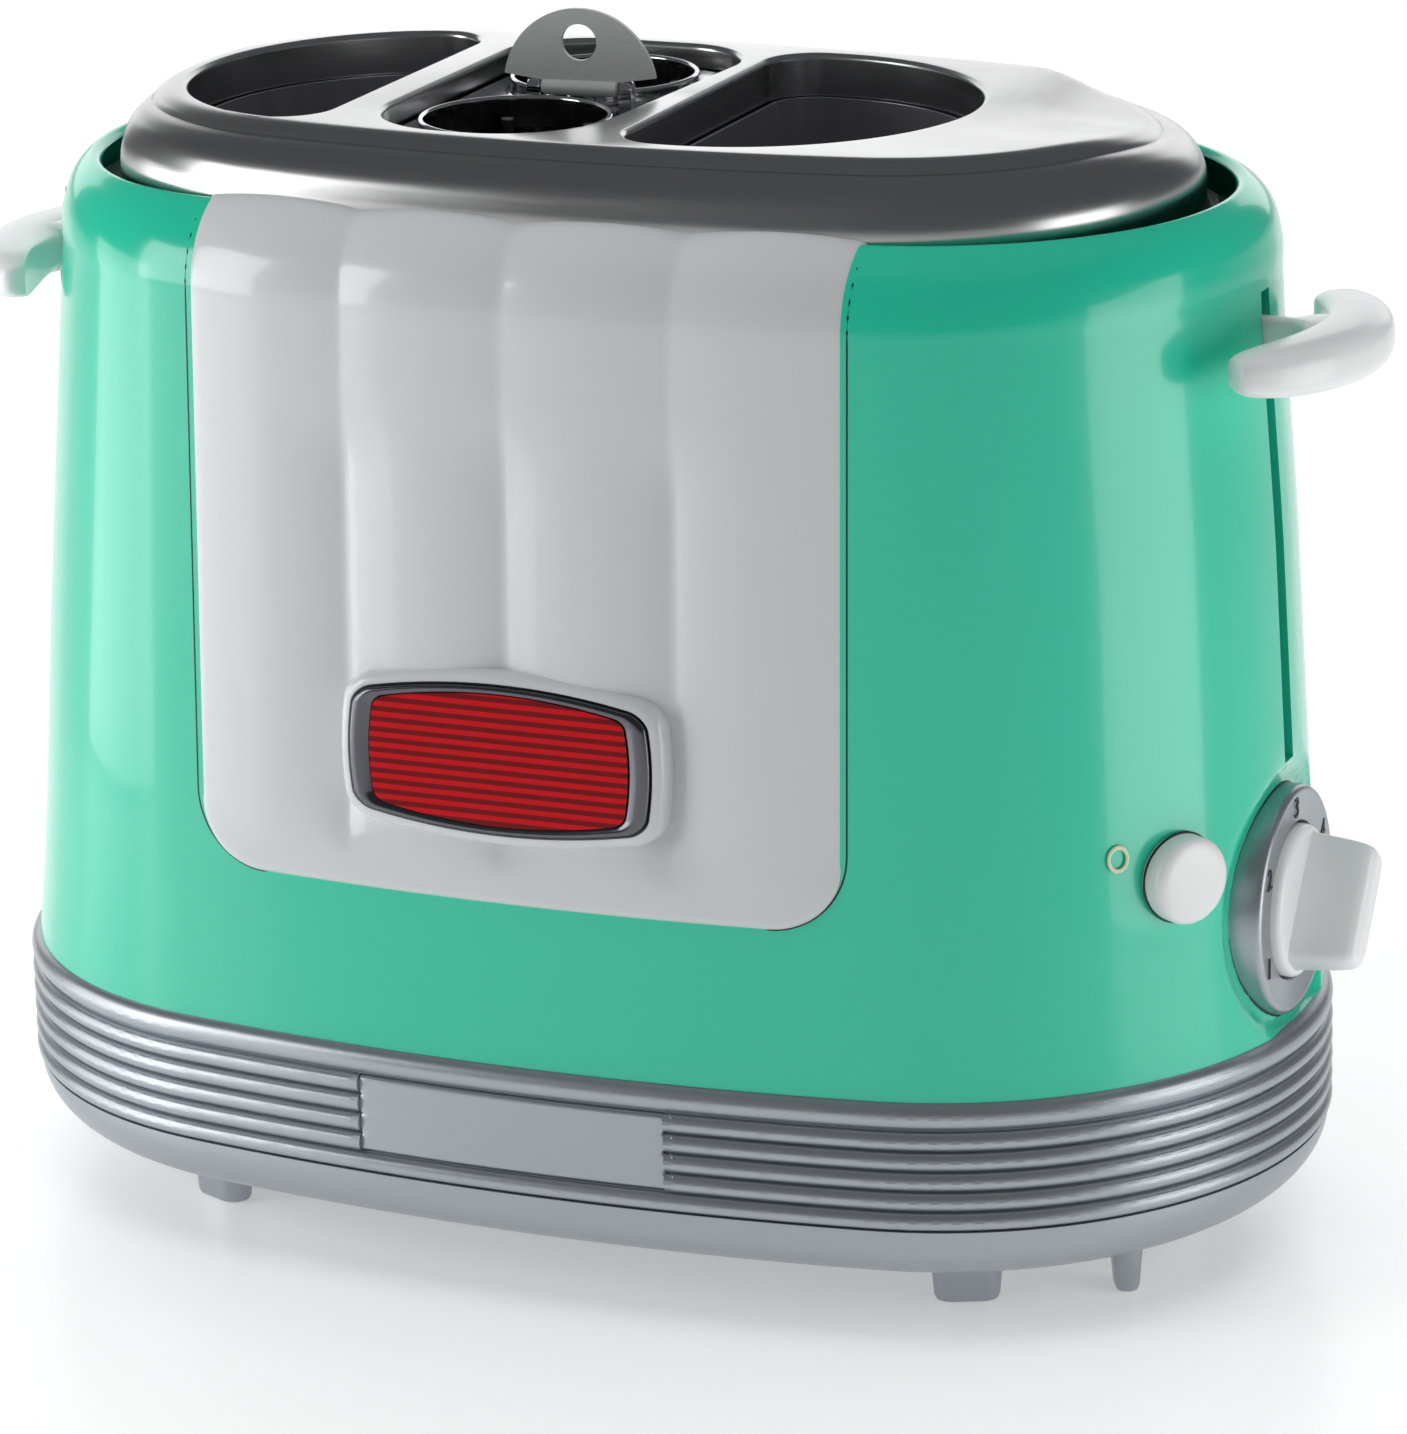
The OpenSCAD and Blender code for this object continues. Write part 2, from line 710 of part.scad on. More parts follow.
// One crease: a ramp at its foot, the leaning wall, then the shoulder
module groove(x) {
    drop = side_c - sqrt(side_r * side_r - x * x) + half_w;
    translate([x, -half_w + drop, seam_z]) rotate([0, 0, asin(x / side_r)]) {
        translate([0, taper * crease_z, crease_z]) rotate([-lean, 0, 0]) mirror([0, 1, 0])
            linear_extrude((wall_h - crease_z) / cos(lean) + 0.2) groove_plan(0);
        translate([0, taper * crease_z, crease_z]) rotate([-26, 0, 0]) mirror([0, 1, 0])
            translate([0, 0, -14]) linear_extrude(17) groove_plan(0);
        translate([0, wall_in + shoulder_r, wall_h]) rotate([90, 0, -90])
            rotate_extrude(angle = shoulder_a + 9, $fn = 240) rotate([0, 0, -90]) groove_plan(shoulder_r + 0.2);
    }
}

module badge_frame(l, h, y0, y1) {
    on_front(badge_z) rotate([90, 0, 0]) translate([0, 0, y0]) linear_extrude(y1 - y0) polygon(barrel(l, h, 0));
}

face_out = panel_proud + 2.4;
panel_back = 5.6;

module front_panel() {
    color(cream) difference() {
        union() {
            difference() {
                intersection() {
                    oval_sweep() wall_profile(panel_proud, panel_back);
                    panel_prism(0);
                }
                for (i = [-1:1]) groove(i * lobe_pitch);
            }
            badge_frame(badge_l + 7, badge_h + 5, -panel_back, face_out);
        }
        badge_frame(badge_l + 0.4, badge_h + 0.4, face_out - 1.8, face_out + 4);
    }
}

module badge_bezel() {
    color(dark) difference() {
        badge_frame(badge_l, badge_h, face_out - 1.75, face_out + 0.4);
        badge_frame(badge_l - 2 * bezel_rim, badge_h - 2 * bezel_rim, face_out - 1, face_out + 4);
    }
}

module badge_insert() {
    color([0.78, 0.05, 0.06])
        badge_frame(badge_l - 2 * bezel_rim - 0.2, badge_h - 2 * bezel_rim - 0.2, face_out - 0.95, face_out);
}

// ---- Lid ----
module top_cover() {
    r = lid_edge_r;
    color(steel) {
        lid_sweep() polygon(concat(
            [[-sheet, plate_z + plate_th], [0, plate_z + plate_th]],
            arc(-r, lid_z - r, r, 0, 90, 12),
            [[-r - 1.5, lid_z], [-r - 1.5, lid_z - sheet]],
            arc(-r, lid_z - r, r - sheet, 90, 0, 12)));
        difference() {
            translate([0, 0, lid_z - sheet]) linear_extrude(sheet)
                oval_plan(-r - 0.8, lid_k, lid_end_r);
            translate([0, 0, lid_z - 5]) linear_extrude(10) {
                polygon(left_well(0.6));
                polygon(right_well(0.6));
                polygon(basket_pts(0.6));
            }
        }
        translate([0, 0, lid_z - skirt_h]) linear_extrude(skirt_h) {
            difference() {
                polygon(left_well(sheet));
                polygon(left_well(0));
            }
            difference() {
                polygon(right_well(sheet));
                polygon(right_well(0));
            }
            difference() {
                polygon(basket_pts(sheet));
                polygon(basket_pts(0));
            }
        }
        // Ledge that the basket's flange rests on
        translate([0, 0, flange_z - 1]) linear_extrude(1) difference() {
            polygon(basket_pts(sheet / 2));
            polygon(basket_pts(-2.6));
        }
    }
}

// ---- Sausage basket ----
module basket_flange() {
    color(steel) difference() {
        union() {
            translate([0, 0, flange_z]) linear_extrude(1.1) polygon(basket_pts(-opening_gap));
            for (s = [-1, 1]) translate([basket_x, s * hole_y, flange_z]) cylinder(r = collar_r, h = collar_z - flange_z);
            on_tab() for (s = [-1, 1]) ear(s);
        }
        for (s = [-1, 1]) translate([basket_x, s * hole_y, flange_z - 1]) cylinder(r = collar_r - 1, h = 12);
        on_tab() rod_x(pin_r + 0.02, -tab_r - 3, tab_r + 3);
    }
}

module on_tab() {
    translate([tab_x, 0, hinge_z]) rotate([0, 0, tab_turn]) children();
}

ear_x0 = tab_r - 7;
ear_w = 2.4;

// One fixed knuckle of the hinge on its foot
module ear(s) {
    x0 = s > 0 ? ear_x0 : -ear_x0 - ear_w;
    translate([x0, 0, 0]) rod_x(knuckle_r, 0, ear_w);
    translate([x0, -knuckle_r, flange_z - hinge_z]) cube([ear_w, 2 * knuckle_r, hinge_z - flange_z]);
}

module tab_pin() {
    color(steel) on_tab() rod_x(pin_r, -ear_x0 - ear_w, ear_x0 + ear_w);
}

module on_holes() {
    for (s = [-1, 1]) translate([basket_x, s * hole_y, flange_z]) children();
}

module six_rods(r, z, h) {
    for (a = [0:60:300]) translate([cage_r * cos(a), cage_r * sin(a), z]) cylinder(r = r, h = h, $fn = 24);
}

module cage_rods() {
    color(steel) on_holes() six_rods(rod_r, -cage_h, cage_h);
}

// Hoops in short arcs between the rods
module cage_hoops(s) {
    color(steel) for (z = [0, cage_h / 2]) translate([basket_x, s * hole_y, flange_z - cage_h + z]) difference() {
        cylinder(r = cage_r + rod_r / 2, h = 2);
        translate([0, 0, -1]) cylinder(r = cage_r - rod_r / 2, h = 4);
        six_rods(rod_r + 0.02, -1, 4);
    }
}

module cage_hoops_front() cage_hoops(-1);
module cage_hoops_back() cage_hoops(1);

// Floor bars that the sausages stand on
module cage_floor() {
    y = hole_y + cage_r - 1;
    color(steel) translate([basket_x, 0, flange_z - cage_h - 2.02]) {
        for (x = [-8, 0, 8]) translate([x - 1, -y, 0]) cube([2, 2 * y, 2]);
        translate([-12, -1, 0]) cube([24, 2, 2]);
    }
}

module lifting_tab() {
    free = ear_x0 - ear_gap;
    color(steel) on_tab() difference() {
        union() {
            rotate([90, 0, 0]) translate([0, 0, -tab_th / 2]) linear_extrude(tab_th) intersection() {
                circle(tab_r);
                translate([-tab_r, knuckle_r + 0.4]) square([2 * tab_r, tab_r]);
            }
            translate([-free, -tab_th / 2, 0]) cube([2 * free, tab_th, knuckle_r + 1]);
            rod_x(knuckle_r, -free, free);
        }
        rod_x(pin_r + run_fit, -tab_r, tab_r);
        translate([0, tab_th, 8.4]) rotate([90, 0, 0]) cylinder(r = tab_hole_r, h = 3 * tab_th);
    }
}

// ---- Carriage ----
module carriage_frame() {
    color(zinc) difference() {
        union() {
            oval_sweep() translate([-ring_in, ring_z - ring_h / 2]) square([ring_in - ring_out, ring_h]);
            for (s = [-1, 1]) {
                translate([s * lug_x, s * lug_y, ring_z - ring_h / 2]) cylinder(r = lug_r, h = ring_h);
                translate([s * lug_x, -s * lug_y, ring_z + ring_h / 2 - 1.5]) cylinder(r = 4.6, h = 1.5);
                translate([s * (lug_x - 4), 0, ring_z + ring_h / 2 - 0.75]) cube([9, 2 * lug_y + 4, 1.5], center = true);
            }
            for (s = [-1, 1]) translate([s * (end_c + end_r - ring_out - 1), 0, ring_z])
                translate([s * 14, 0, 0]) cube([30, arm_w, arm_h], center = true);
        }
        for (s = [-1, 1]) translate([s * lug_x, s * lug_y, ring_z - ring_h]) cylinder(r = bush_r + 0.02, h = 2 * ring_h);
    }
}

module bush(s) {
    color(cream) translate([s * lug_x, s * lug_y, ring_z - ring_h / 2 - 1.5]) difference() {
        cylinder(r = bush_r, h = ring_h + 2);
        translate([0, 0, -1]) cylinder(r = guide_r + run_fit, h = ring_h + 4);
    }
}

module bush_left() bush(-1);
module bush_right() bush(1);

module armature() {
    color(steel) translate([magnet_x, magnet_y, ring_z - ring_h / 2 - 2]) cylinder(r = 6, h = 2);
}

// Two bars under the bun, hung from the ring by a strap at each end
module bun_rest(x0) {
    y0 = oval_y(x0, (ring_out + ring_in) / 2);
    color(zinc) {
        for (s = [-1, 1]) translate([x0 + s * 5, 0, rest_z]) cube([2.4, 2 * y0, 2.4], center = true);
        for (s = [-1, 1]) translate([x0 - 7, s * y0 - 0.8, rest_z - 1.2]) cube([14, 1.6, ring_z - ring_h / 2 - rest_z + 1.2]);
        for (i = [-3:3]) translate([x0 - 3.8, i * 9 - 1, rest_z - 1.2]) cube([7.6, 2, 2.4]);
    }
}

module bun_rest_left() bun_rest(rest_l_x);
module bun_rest_right() bun_rest(rest_r_x);

module lever_profile() {
    w = lever_out_r - lever_in_r;
    r = 3.6;
    polygon(concat(
        arc(w - r, -lever_h / 2 + r, r, -90, 0, 6),
        arc(w - r, lever_h / 2 - r, r, 0, 90, 6),
        arc(r, lever_h / 2 - r, r, 90, 180, 6),
        arc(r, -lever_h / 2 + r, r, 180, 270, 6)));
}

// Curved paddle that follows the end of the body, with a neck through the slot
module lever() {
    mid = (lever_in_r + lever_out_r) / 2;
    neck_x = end_c + end_r - taper * lever_z - 6;
    color(cream) difference() {
        union() {
            translate([end_c, 0, ring_z]) intersection() {
                rotate_extrude(angle = 80, start = -40) translate([lever_in_r, 0]) lever_profile();
                translate([mid, 0, -lever_h]) cylinder(r = lever_half, h = 2 * lever_h);
            }
            translate([neck_x, -1.8, ring_z - 4.5]) cube([end_c + lever_in_r + 3 - neck_x, 3.6, 9]);
        }
        translate([0, -arm_w / 2 - 0.05, ring_z - arm_h / 2 - 0.05])
            cube([end_c + end_r - ring_out - 1 + 29 + 0.05, arm_w + 0.1, arm_h + 0.1]);
    }
}

module lever_left() rotate([0, 0, 180]) lever();
module lever_right() lever();

// ---- Dial, knob and stop button ----
module dial_ring() {
    color(satin) on_dial() difference() {
        union() {
            translate([dial_x - 20, 0, 0]) rotate([0, 90, 0]) rotate_extrude() polygon([
                [0, 0], [dial_r + 0.4, 0], [dial_r + 0.4, 19.2], [dial_r, 20], [0, 20]]);
        }
        rod_x(knob_r + 0.5, dial_x - 17.6, dial_x + 1);
        rod_x(4.6, dial_x - 21, dial_x);
    }
}

function grip_pts() =
    concat(
        arc(knob_r - 4, -1.5, 1.5, -90, 0, 3),
        arc(knob_r - 6.2, grip_out - 3.6, 3.6, 4, 90, 6),
        arc(-knob_r + 6.2, grip_out - 3.6, 3.6, 90, 176, 6),
        arc(-knob_r + 4, -1.5, 1.5, 180, 270, 3));

disc_x = dial_x + 1.6;
grip_out = 12.3;

module timer_knob() {
    color(cream) on_dial() difference() {
        union() {
            translate([dial_x - 16, 0, 0]) rotate([0, 90, 0]) rotate_extrude() polygon([
                [0, 0], [knob_r, 0], [knob_r, 15.8], [knob_r - 0.9, 17.2], [knob_r - 2, 17.6], [0, 17.6]]);
            rotate([-grip_turn, 0, 0]) translate([disc_x, 0, 0]) rotate([0, -90, -90]) grip_solid();
        }
        rod_x(shaft_r + 0.02, dial_x - 17, dial_x - 4);
    }
}

// The grip's outline runs along local x and out along local y, and is as thick as grip_w
module grip_solid() {
    translate([0, 0, -grip_w / 2]) linear_extrude(grip_w) polygon(grip_pts());
}

module timer_shaft() {
    color(steel) on_dial() rod_x(shaft_r, dial_x - 25, dial_x - 4);
}

button_back = wall_button - shell_wall - 2.2;

module stop_button() {
    color(cream) on_end(button_a, button_z) {
        translate([button_back, 0, 0]) rotate([0, 90, 0]) rotate_extrude() polygon(concat(
            [[0, 0], [button_r + 1.4, 0], [button_r + 1.4, 1.2], [button_r, 1.2]],
            arc(button_r - 1.4, wall_button + button_out - button_back - 1.4, 1.4, 0, 80, 5),
            [[0, wall_button + button_out - button_back + 0.2]]));
        rod_x(3, button_back - 13.5, button_back);
    }
}

module button_guide() {
    z0 = seam_z + chassis_th;
    color(cream) on_end(button_a, button_z) difference() {
        union() {
            rod_x(5.5, button_back - 12, button_back - 7);
            translate([button_back - 12, -3, z0 - seam_z - button_z]) cube([5, 6, button_z - chassis_th - 3.4]);
        }
        rod_x(3 + run_fit, button_back - 14, button_back);
    }
}

module button_spring() {
    color(steel) on_end(button_a, button_z) translate([button_back - 7, 0, 0]) rotate([0, 90, 0])
        coil(4.4, 0.35, 3.6, 4);
}

base_pan();
base_ring();
nameplate();
feet();
end_feet();
base_screws();
crumb_tray();
chassis_plate();
body_shell();
front_panel();
badge_bezel();
badge_insert();
top_cover();
upper_plate();
bun_liner_left();
bun_liner_right();
basket_guides();
board_outer_left();
board_inner_left();
board_inner_right();
board_outer_right();
heater_outer_left();
heater_inner_left();
heater_inner_right();
heater_outer_right();
heat_shield_left();
heat_shield_right();
guide_rod_left();
guide_rod_right();
return_spring_left();
return_spring_right();
electromagnet();
control_board();
timer_pot();
terminal_block();
cord_gland();
dial_ring();
button_guide();
button_spring();
carriage_frame();
armature();
bun_rest_left();
bun_rest_right();
bush_left();
bush_right();
lever_left();
lever_right();
basket_flange();
cage_rods();
cage_hoops_front();
cage_hoops_back();
cage_floor();
tab_pin();
lifting_tab();
timer_knob();
timer_shaft();
stop_button();
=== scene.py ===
import math

import bpy
from mathutils import Matrix, Vector, geometry


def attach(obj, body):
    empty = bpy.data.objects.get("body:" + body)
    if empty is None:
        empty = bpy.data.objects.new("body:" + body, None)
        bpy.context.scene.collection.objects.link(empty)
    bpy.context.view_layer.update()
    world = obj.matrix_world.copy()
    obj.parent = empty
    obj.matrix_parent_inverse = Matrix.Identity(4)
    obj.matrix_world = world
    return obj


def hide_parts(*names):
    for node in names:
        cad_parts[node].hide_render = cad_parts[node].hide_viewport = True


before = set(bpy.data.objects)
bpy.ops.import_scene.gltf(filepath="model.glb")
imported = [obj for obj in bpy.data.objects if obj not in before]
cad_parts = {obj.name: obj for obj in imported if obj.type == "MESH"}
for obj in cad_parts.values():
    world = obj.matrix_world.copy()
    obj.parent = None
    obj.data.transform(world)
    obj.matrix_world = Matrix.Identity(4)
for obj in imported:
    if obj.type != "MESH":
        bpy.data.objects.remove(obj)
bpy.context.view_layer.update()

# All lengths below are millimetres in the row frame: X to the dial, -Y to the panel, Z up.
# The plan of the body is an oval of four arcs. 13, 84 and 85 are the sides of a right triangle,
# so the arcs of its ends and sides meet without a kink.
K, END_R, HALF_W = 4.325, 68.775, 73.1
END_C, SIDE_C, SIDE_R = 13 * K, 84 * K, 85 * K + END_R
SEAM, LID = 45.95, 208.35
WALL_H, WALL_T, TAPER, LIP_INSET, SHOULDER_H = 135.0, 2.5, 0.045, 15.8, 15.0
WALL_IN = TAPER * WALL_H
SH_DX = LIP_INSET - WALL_IN
SH_R = (SHOULDER_H ** 2 + SH_DX ** 2) / (2 * SH_DX)
SH_A = math.degrees(2 * math.atan(SH_DX / SHOULDER_H))
LK, LID_R = 3.9, 52.8
PLATE_Z, RING_Z, DIAL_Z = SEAM + 142, SEAM + 125, SEAM + 21.7
FLANGE_Z, COLLAR_Z, HINGE_Z = LID - 5.6, LID - 1.4, LID - 0.2
BASKET_X, HOLE_Y, COLLAR_R = -17.5, 19.8, 17.6
REST_DROP, TRAVEL = 44, 72
INLET_Z, INLET_AZ, INLET_HOLE = SEAM - 12, 50, 8.6
JOIN = math.degrees(math.atan2(84, 13))
RAD = math.pi / 180


# ---------- mesh helpers ----------
def make(name, verts, faces, mat, body="housing", sharp=35, replaces=()):
    """A mesh object from points in millimetres, given to its body and a material slot; the CAD nodes it
    replaces are hidden.
    """
    me = bpy.data.meshes.new(name)
    me.from_pydata([(x * 0.001, y * 0.001, z * 0.001) for x, y, z in verts], [], faces)
    me.validate()
    ob = bpy.data.objects.new(name, me)
    bpy.context.scene.collection.objects.link(ob)
    me.materials.append(mat)
    me.shade_smooth()
    if sharp:
        me.set_sharp_from_angle(angle=sharp * RAD)
    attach(ob, body)
    if replaces:
        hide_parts(*replaces)
    return ob


def grid(rows, close_u=True, close_v=False, skip=None, flip=False):
    """Vertices and quads of rows of points; skip(r, c) leaves a face out."""
    n = len(rows[0])
    verts = [p for row in rows for p in row]
    faces = []
    for r in range(len(rows) if close_v else len(rows) - 1):
        r2 = (r + 1) % len(rows)
        for c in range(n if close_u else n - 1):
            if skip and skip(r, c):
                continue
            d = (c + 1) % n
            q = (r * n + c, r * n + d, r2 * n + d, r2 * n + c)
            faces.append(q[::-1] if flip else q)
    return verts, faces


def cap(verts, faces, r, n, up=True):
    """Closes a row with a fan about its middle."""
    ring = list(range(r * n, r * n + n))
    m = [sum(verts[i][k] for i in ring) / n for k in range(3)]
    verts.append(tuple(m))
    for c in range(n):
        a, b = ring[c], ring[(c + 1) % n]
        faces.append((a, b, len(verts) - 1) if up else (b, a, len(verts) - 1))


def lin(a, b, n):
    return [a + (b - a) * i / n for i in range(n + 1)]


def arc(cx, cy, r, a0, a1, n):
    return [(cx + r * math.cos(t * RAD), cy + r * math.sin(t * RAD)) for t in lin(a0, a1, n)]


def turns(n):
    """Cosine and sine of n even steps round a circle."""
    return [(math.cos(2 * math.pi * i / n), math.sin(2 * math.pi * i / n)) for i in range(n)]


def signed_power(c, e):
    return math.copysign(abs(c) ** e, c)


def ease(t):
    """Smooth step from 0 to 1, level before and after."""
    t = min(1.0, max(0.0, t))
    return t * t * (3 - 2 * t)


def quarter(e):
    """Height of a quarter round at the share e of its width, level after it."""
    return math.sqrt(max(0.0, 1 - (1 - min(e, 1)) ** 2))


def stations(k, r, n_end=40, n_side=44, extra_end=(), extra_front=()):
    """Points round a four-arc oval as (centre x, centre y, radius, unit x, unit y), anticlockwise from +X."""
    cx, cy, rs = 13 * k, 84 * k, 85 * k + r
    ends = sorted(set(lin(-JOIN, JOIN, n_end)[:-1]) | set(extra_end))
    sides = lin(JOIN, 180 - JOIN, n_side)[:-1]
    marks = {270 + math.degrees(math.asin(x / rs)) for x in extra_front}
    front = sorted({180 + s for s in sides} | marks)
    far_ends = [180 + e for e in ends]
    runs = ((ends, cx, 0, r), (sides, 0, -cy, rs), (far_ends, -cx, 0, r), (front, 0, cy, rs))
    out = []
    for angs, ox, oy, rad in runs:
        for t in angs:
            out.append((ox, oy, rad, math.cos(t * RAD), math.sin(t * RAD)))
    return out


def at(s, out, z):
    return (s[0] + (s[2] + out) * s[3], s[1] + (s[2] + out) * s[4], z)


def table_at(pts, z):
    for (a, va), (b, vb) in zip(pts, pts[1:]):
        if z <= b:
            return va + (vb - va) * max(0.0, z - a) / (b - a)
    return pts[-1][1]


def on_front(x, out, z):
    """The point at x on the body's front, out from its plan at the seam."""
    return (x, SIDE_C - math.sqrt((SIDE_R + out) ** 2 - x * x), z)


# How far each end leans in at a height above the seam, and the shallow dish round the dial
LEFT_IN = [(0, 0), (12, 0.9), (30, 1.75), (60, 2.6), (90, 3.85), (120, 5.2), (135, 6.0), (143.5, 4.6),
           (150, 2.2), (154, 3.7)]
RIGHT_IN = [(0, 0), (12, 0.5), (40, 0.9), (90, 1.0), (120, 1.8), (135, 1.8), (141, 1.0),
            (150, -1.6), (154, -0.8)]
LEAN_FROM, LEAN_OVER = 66, 48
DISH, DISH_R, DISH_EDGE, DISH_X = 2.5, 26.5, 4.5, 100


def lean_ends(p):
    """Each end of the body leans in by its own amount, and the dial's end is dished."""
    x, y, z = p
    d = ease((abs(x) - LEAN_FROM) / LEAN_OVER) * table_at(LEFT_IN if x < 0 else RIGHT_IN, z - SEAM)
    if x < 0:
        return (x + d, y, z)
    if x > DISH_X:
        low = min(1.0, max(0.0, z - SEAM + 0.3))
        d += DISH * low * ease((DISH_R - math.hypot(y, z - DIAL_Z)) / DISH_EDGE)
    return (x - d, y, z)


def sweep(profile, st, **kw):
    return grid([[at(s, o, z) for s in st] for o, z in profile], **kw)


def revolve(profile, place, n=64):
    """profile as (radius, along); place maps local (x along, y, z) to the frame."""
    return grid([[place(a, r * c, r * s) for c, s in turns(n)] for r, a in profile])


def frame_at(origin, az, tilt=0.0):
    """Places local (outwards, sideways, up) points on a plane whose outward normal lies at az in plan."""
    ca, sa = math.cos(az * RAD), math.sin(az * RAD)
    ct, st = math.cos(tilt * RAD), math.sin(tilt * RAD)

    def place(x, y, z):
        o, u = x * ct - z * st, x * st + z * ct
        return (origin[0] + o * ca - y * sa, origin[1] + o * sa + y * ca, origin[2] + u)
    return place


def join(parts):
    verts, faces = [], []
    for v, f in parts:
        b = len(verts)
        verts += v
        faces += [tuple(i + b for i in q) for q in f]
    return verts, faces


def plate(loops, step=3.0, inside=None):
    """Triangulates the region inside the first loop and outside the others; returns points and triangles.
    The loops' points come first, in order, so that walls can be joined to them."""
    pts, edges = [], []
    for lp in loops:
        b = len(pts)
        pts += [Vector(p) for p in lp]
        edges += [(b + i, b + (i + 1) % len(lp)) for i in range(len(lp))]
    xs, ys = [p.x for p in pts], [p.y for p in pts]
    if step:
        x = min(xs) + step / 2
        while x < max(xs):
            y = min(ys) + step / 2
            while y < max(ys):
                near = min((p.x - x) ** 2 + (p.y - y) ** 2 for p in pts)
                if near > (0.45 * step) ** 2:
                    pts.append(Vector((x, y)))
                y += step
            x += step
    n0 = sum(len(lp) for lp in loops)
    vs, _, tris, orig, _, _ = geometry.delaunay_2d_cdt(pts, edges, [], 0, 1e-6)
    back = {}
    for i, o in enumerate(orig):
        for j in o:
            back[j] = i

    def contains(lp, p):
        c, m = False, len(lp)
        for i in range(m):
            (x1, y1), (x2, y2) = lp[i], lp[(i + 1) % m]
            if (y1 > p.y) != (y2 > p.y) and p.x < (x2 - x1) * (p.y - y1) / (y2 - y1) + x1:
                c = not c
        return c
    keep = []
    for t in tris:
        m = (vs[t[0]] + vs[t[1]] + vs[t[2]]) / 3
        if contains(loops[0], m) and not any(contains(lp, m) for lp in loops[1:]):
            keep.append(tuple(t))
    used = sorted({i for t in keep for i in t} | {back[i] for i in range(n0)})
    first = [back[i] for i in range(n0)]
    order = first + [i for i in used if i not in set(first)]
    new = {o: i for i, o in enumerate(order)}
    faces = []
    for t in keep:
        a, b, c = (vs[i] for i in t)
        t = tuple(new[i] for i in t)
        faces.append(t if (b - a).cross(c - a) > 0 else t[::-1])
    return [(vs[i].x, vs[i].y) for i in order], faces


# ---------- materials ----------
def material(name, base, metal=0.0, rough=0.4, coat=0.0, grain=400.0, stretch=(1, 1, 1), bump=0.05,
             depth=0.0002, vary=0.06, rough_vary=0.08, aniso=0.0, spec=0.5):
    """Principled material with fine and wide noise in its colour and roughness, and a fine bump."""
    m = bpy.data.materials.new(name)
    m.use_nodes = True
    nt = m.node_tree
    b = nt.nodes["Principled BSDF"]
    b.inputs["Metallic"].default_value = metal
    b.inputs["Coat Weight"].default_value = coat
    b.inputs["Coat Roughness"].default_value = 0.04
    b.inputs["Anisotropic"].default_value = aniso
    b.inputs["Specular IOR Level"].default_value = spec
    tc = nt.nodes.new("ShaderNodeTexCoord")
    mp = nt.nodes.new("ShaderNodeMapping")
    mp.inputs["Scale"].default_value = stretch
    nt.links.new(tc.outputs["Object"], mp.inputs["Vector"])
    fine = nt.nodes.new("ShaderNodeTexNoise")
    fine.inputs["Scale"].default_value = grain
    fine.inputs["Detail"].default_value = 4
    nt.links.new(mp.outputs["Vector"], fine.inputs["Vector"])
    wide = nt.nodes.new("ShaderNodeTexNoise")
    wide.inputs["Scale"].default_value = 14
    wide.inputs["Detail"].default_value = 2
    nt.links.new(tc.outputs["Object"], wide.inputs["Vector"])
    mix = nt.nodes.new("ShaderNodeMix")
    mix.data_type = "RGBA"
    mix.inputs["A"].default_value = (*[c * (1 - vary) for c in base], 1)
    mix.inputs["B"].default_value = (*[min(1, c * (1 + vary)) for c in base], 1)
    both = nt.nodes.new("ShaderNodeMath")
    both.operation = "MULTIPLY_ADD"
    both.inputs[1].default_value = 0.5
    nt.links.new(fine.outputs["Fac"], both.inputs[0])
    half = nt.nodes.new("ShaderNodeMath")
    half.operation = "MULTIPLY"
    half.inputs[1].default_value = 0.5
    nt.links.new(wide.outputs["Fac"], half.inputs[0])
    nt.links.new(half.outputs[0], both.inputs[2])
    nt.links.new(both.outputs[0], mix.inputs["Factor"])
    nt.links.new(mix.outputs["Result"], b.inputs["Base Color"])
    rr = nt.nodes.new("ShaderNodeMapRange")
    rr.inputs["To Min"].default_value = max(0.02, rough - rough_vary)
    rr.inputs["To Max"].default_value = rough + rough_vary
    nt.links.new(both.outputs[0], rr.inputs["Value"])
    nt.links.new(rr.outputs["Result"], b.inputs["Roughness"])
    bp = nt.nodes.new("ShaderNodeBump")
    bp.inputs["Strength"].default_value = bump
    bp.inputs["Distance"].default_value = depth
    nt.links.new(fine.outputs["Fac"], bp.inputs["Height"])
    nt.links.new(bp.outputs["Normal"], b.inputs["Normal"])
    return m


MINT = material("mint", (0.020, 0.60, 0.385), rough=0.20, coat=0.35, grain=90, bump=0.02, vary=0.015,
                rough_vary=0.02)
PALE = material("pale", (0.66, 0.685, 0.69), rough=0.20, coat=0.35, grain=90, bump=0.02, vary=0.015,
                rough_vary=0.02)
WHITE = material("white", (0.80, 0.81, 0.81), rough=0.30, coat=0.2, grain=150, bump=0.02, vary=0.012,
                 rough_vary=0.03)
SATIN = material("satin", (0.40, 0.43, 0.46), metal=0.8, rough=0.34, grain=900, bump=0.10, vary=0.05,
                 rough_vary=0.05)
BRUSH = material("brushed", (0.50, 0.50, 0.50), metal=1.0, rough=0.24, grain=60, stretch=(1, 1, 30),
                 bump=0.06, depth=0.0001, vary=0.07, rough_vary=0.07, aniso=0.5)
POLISH = material("polished", (0.55, 0.55, 0.56), metal=1.0, rough=0.11, grain=120, stretch=(1, 1, 0.1),
                  bump=0.05, depth=0.0003, vary=0.10, rough_vary=0.05)
LINING = material("lining", (0.34, 0.34, 0.36), metal=0.55, rough=0.26, coat=0.2, grain=260,
                  stretch=(1, 1, 0.04), bump=0.10, depth=0.0003, vary=0.35, rough_vary=0.10)
GRAINED = material("grained", (0.60, 0.61, 0.60), metal=0.30, rough=0.42, grain=1300, bump=0.25, vary=0.10,
                   rough_vary=0.06)
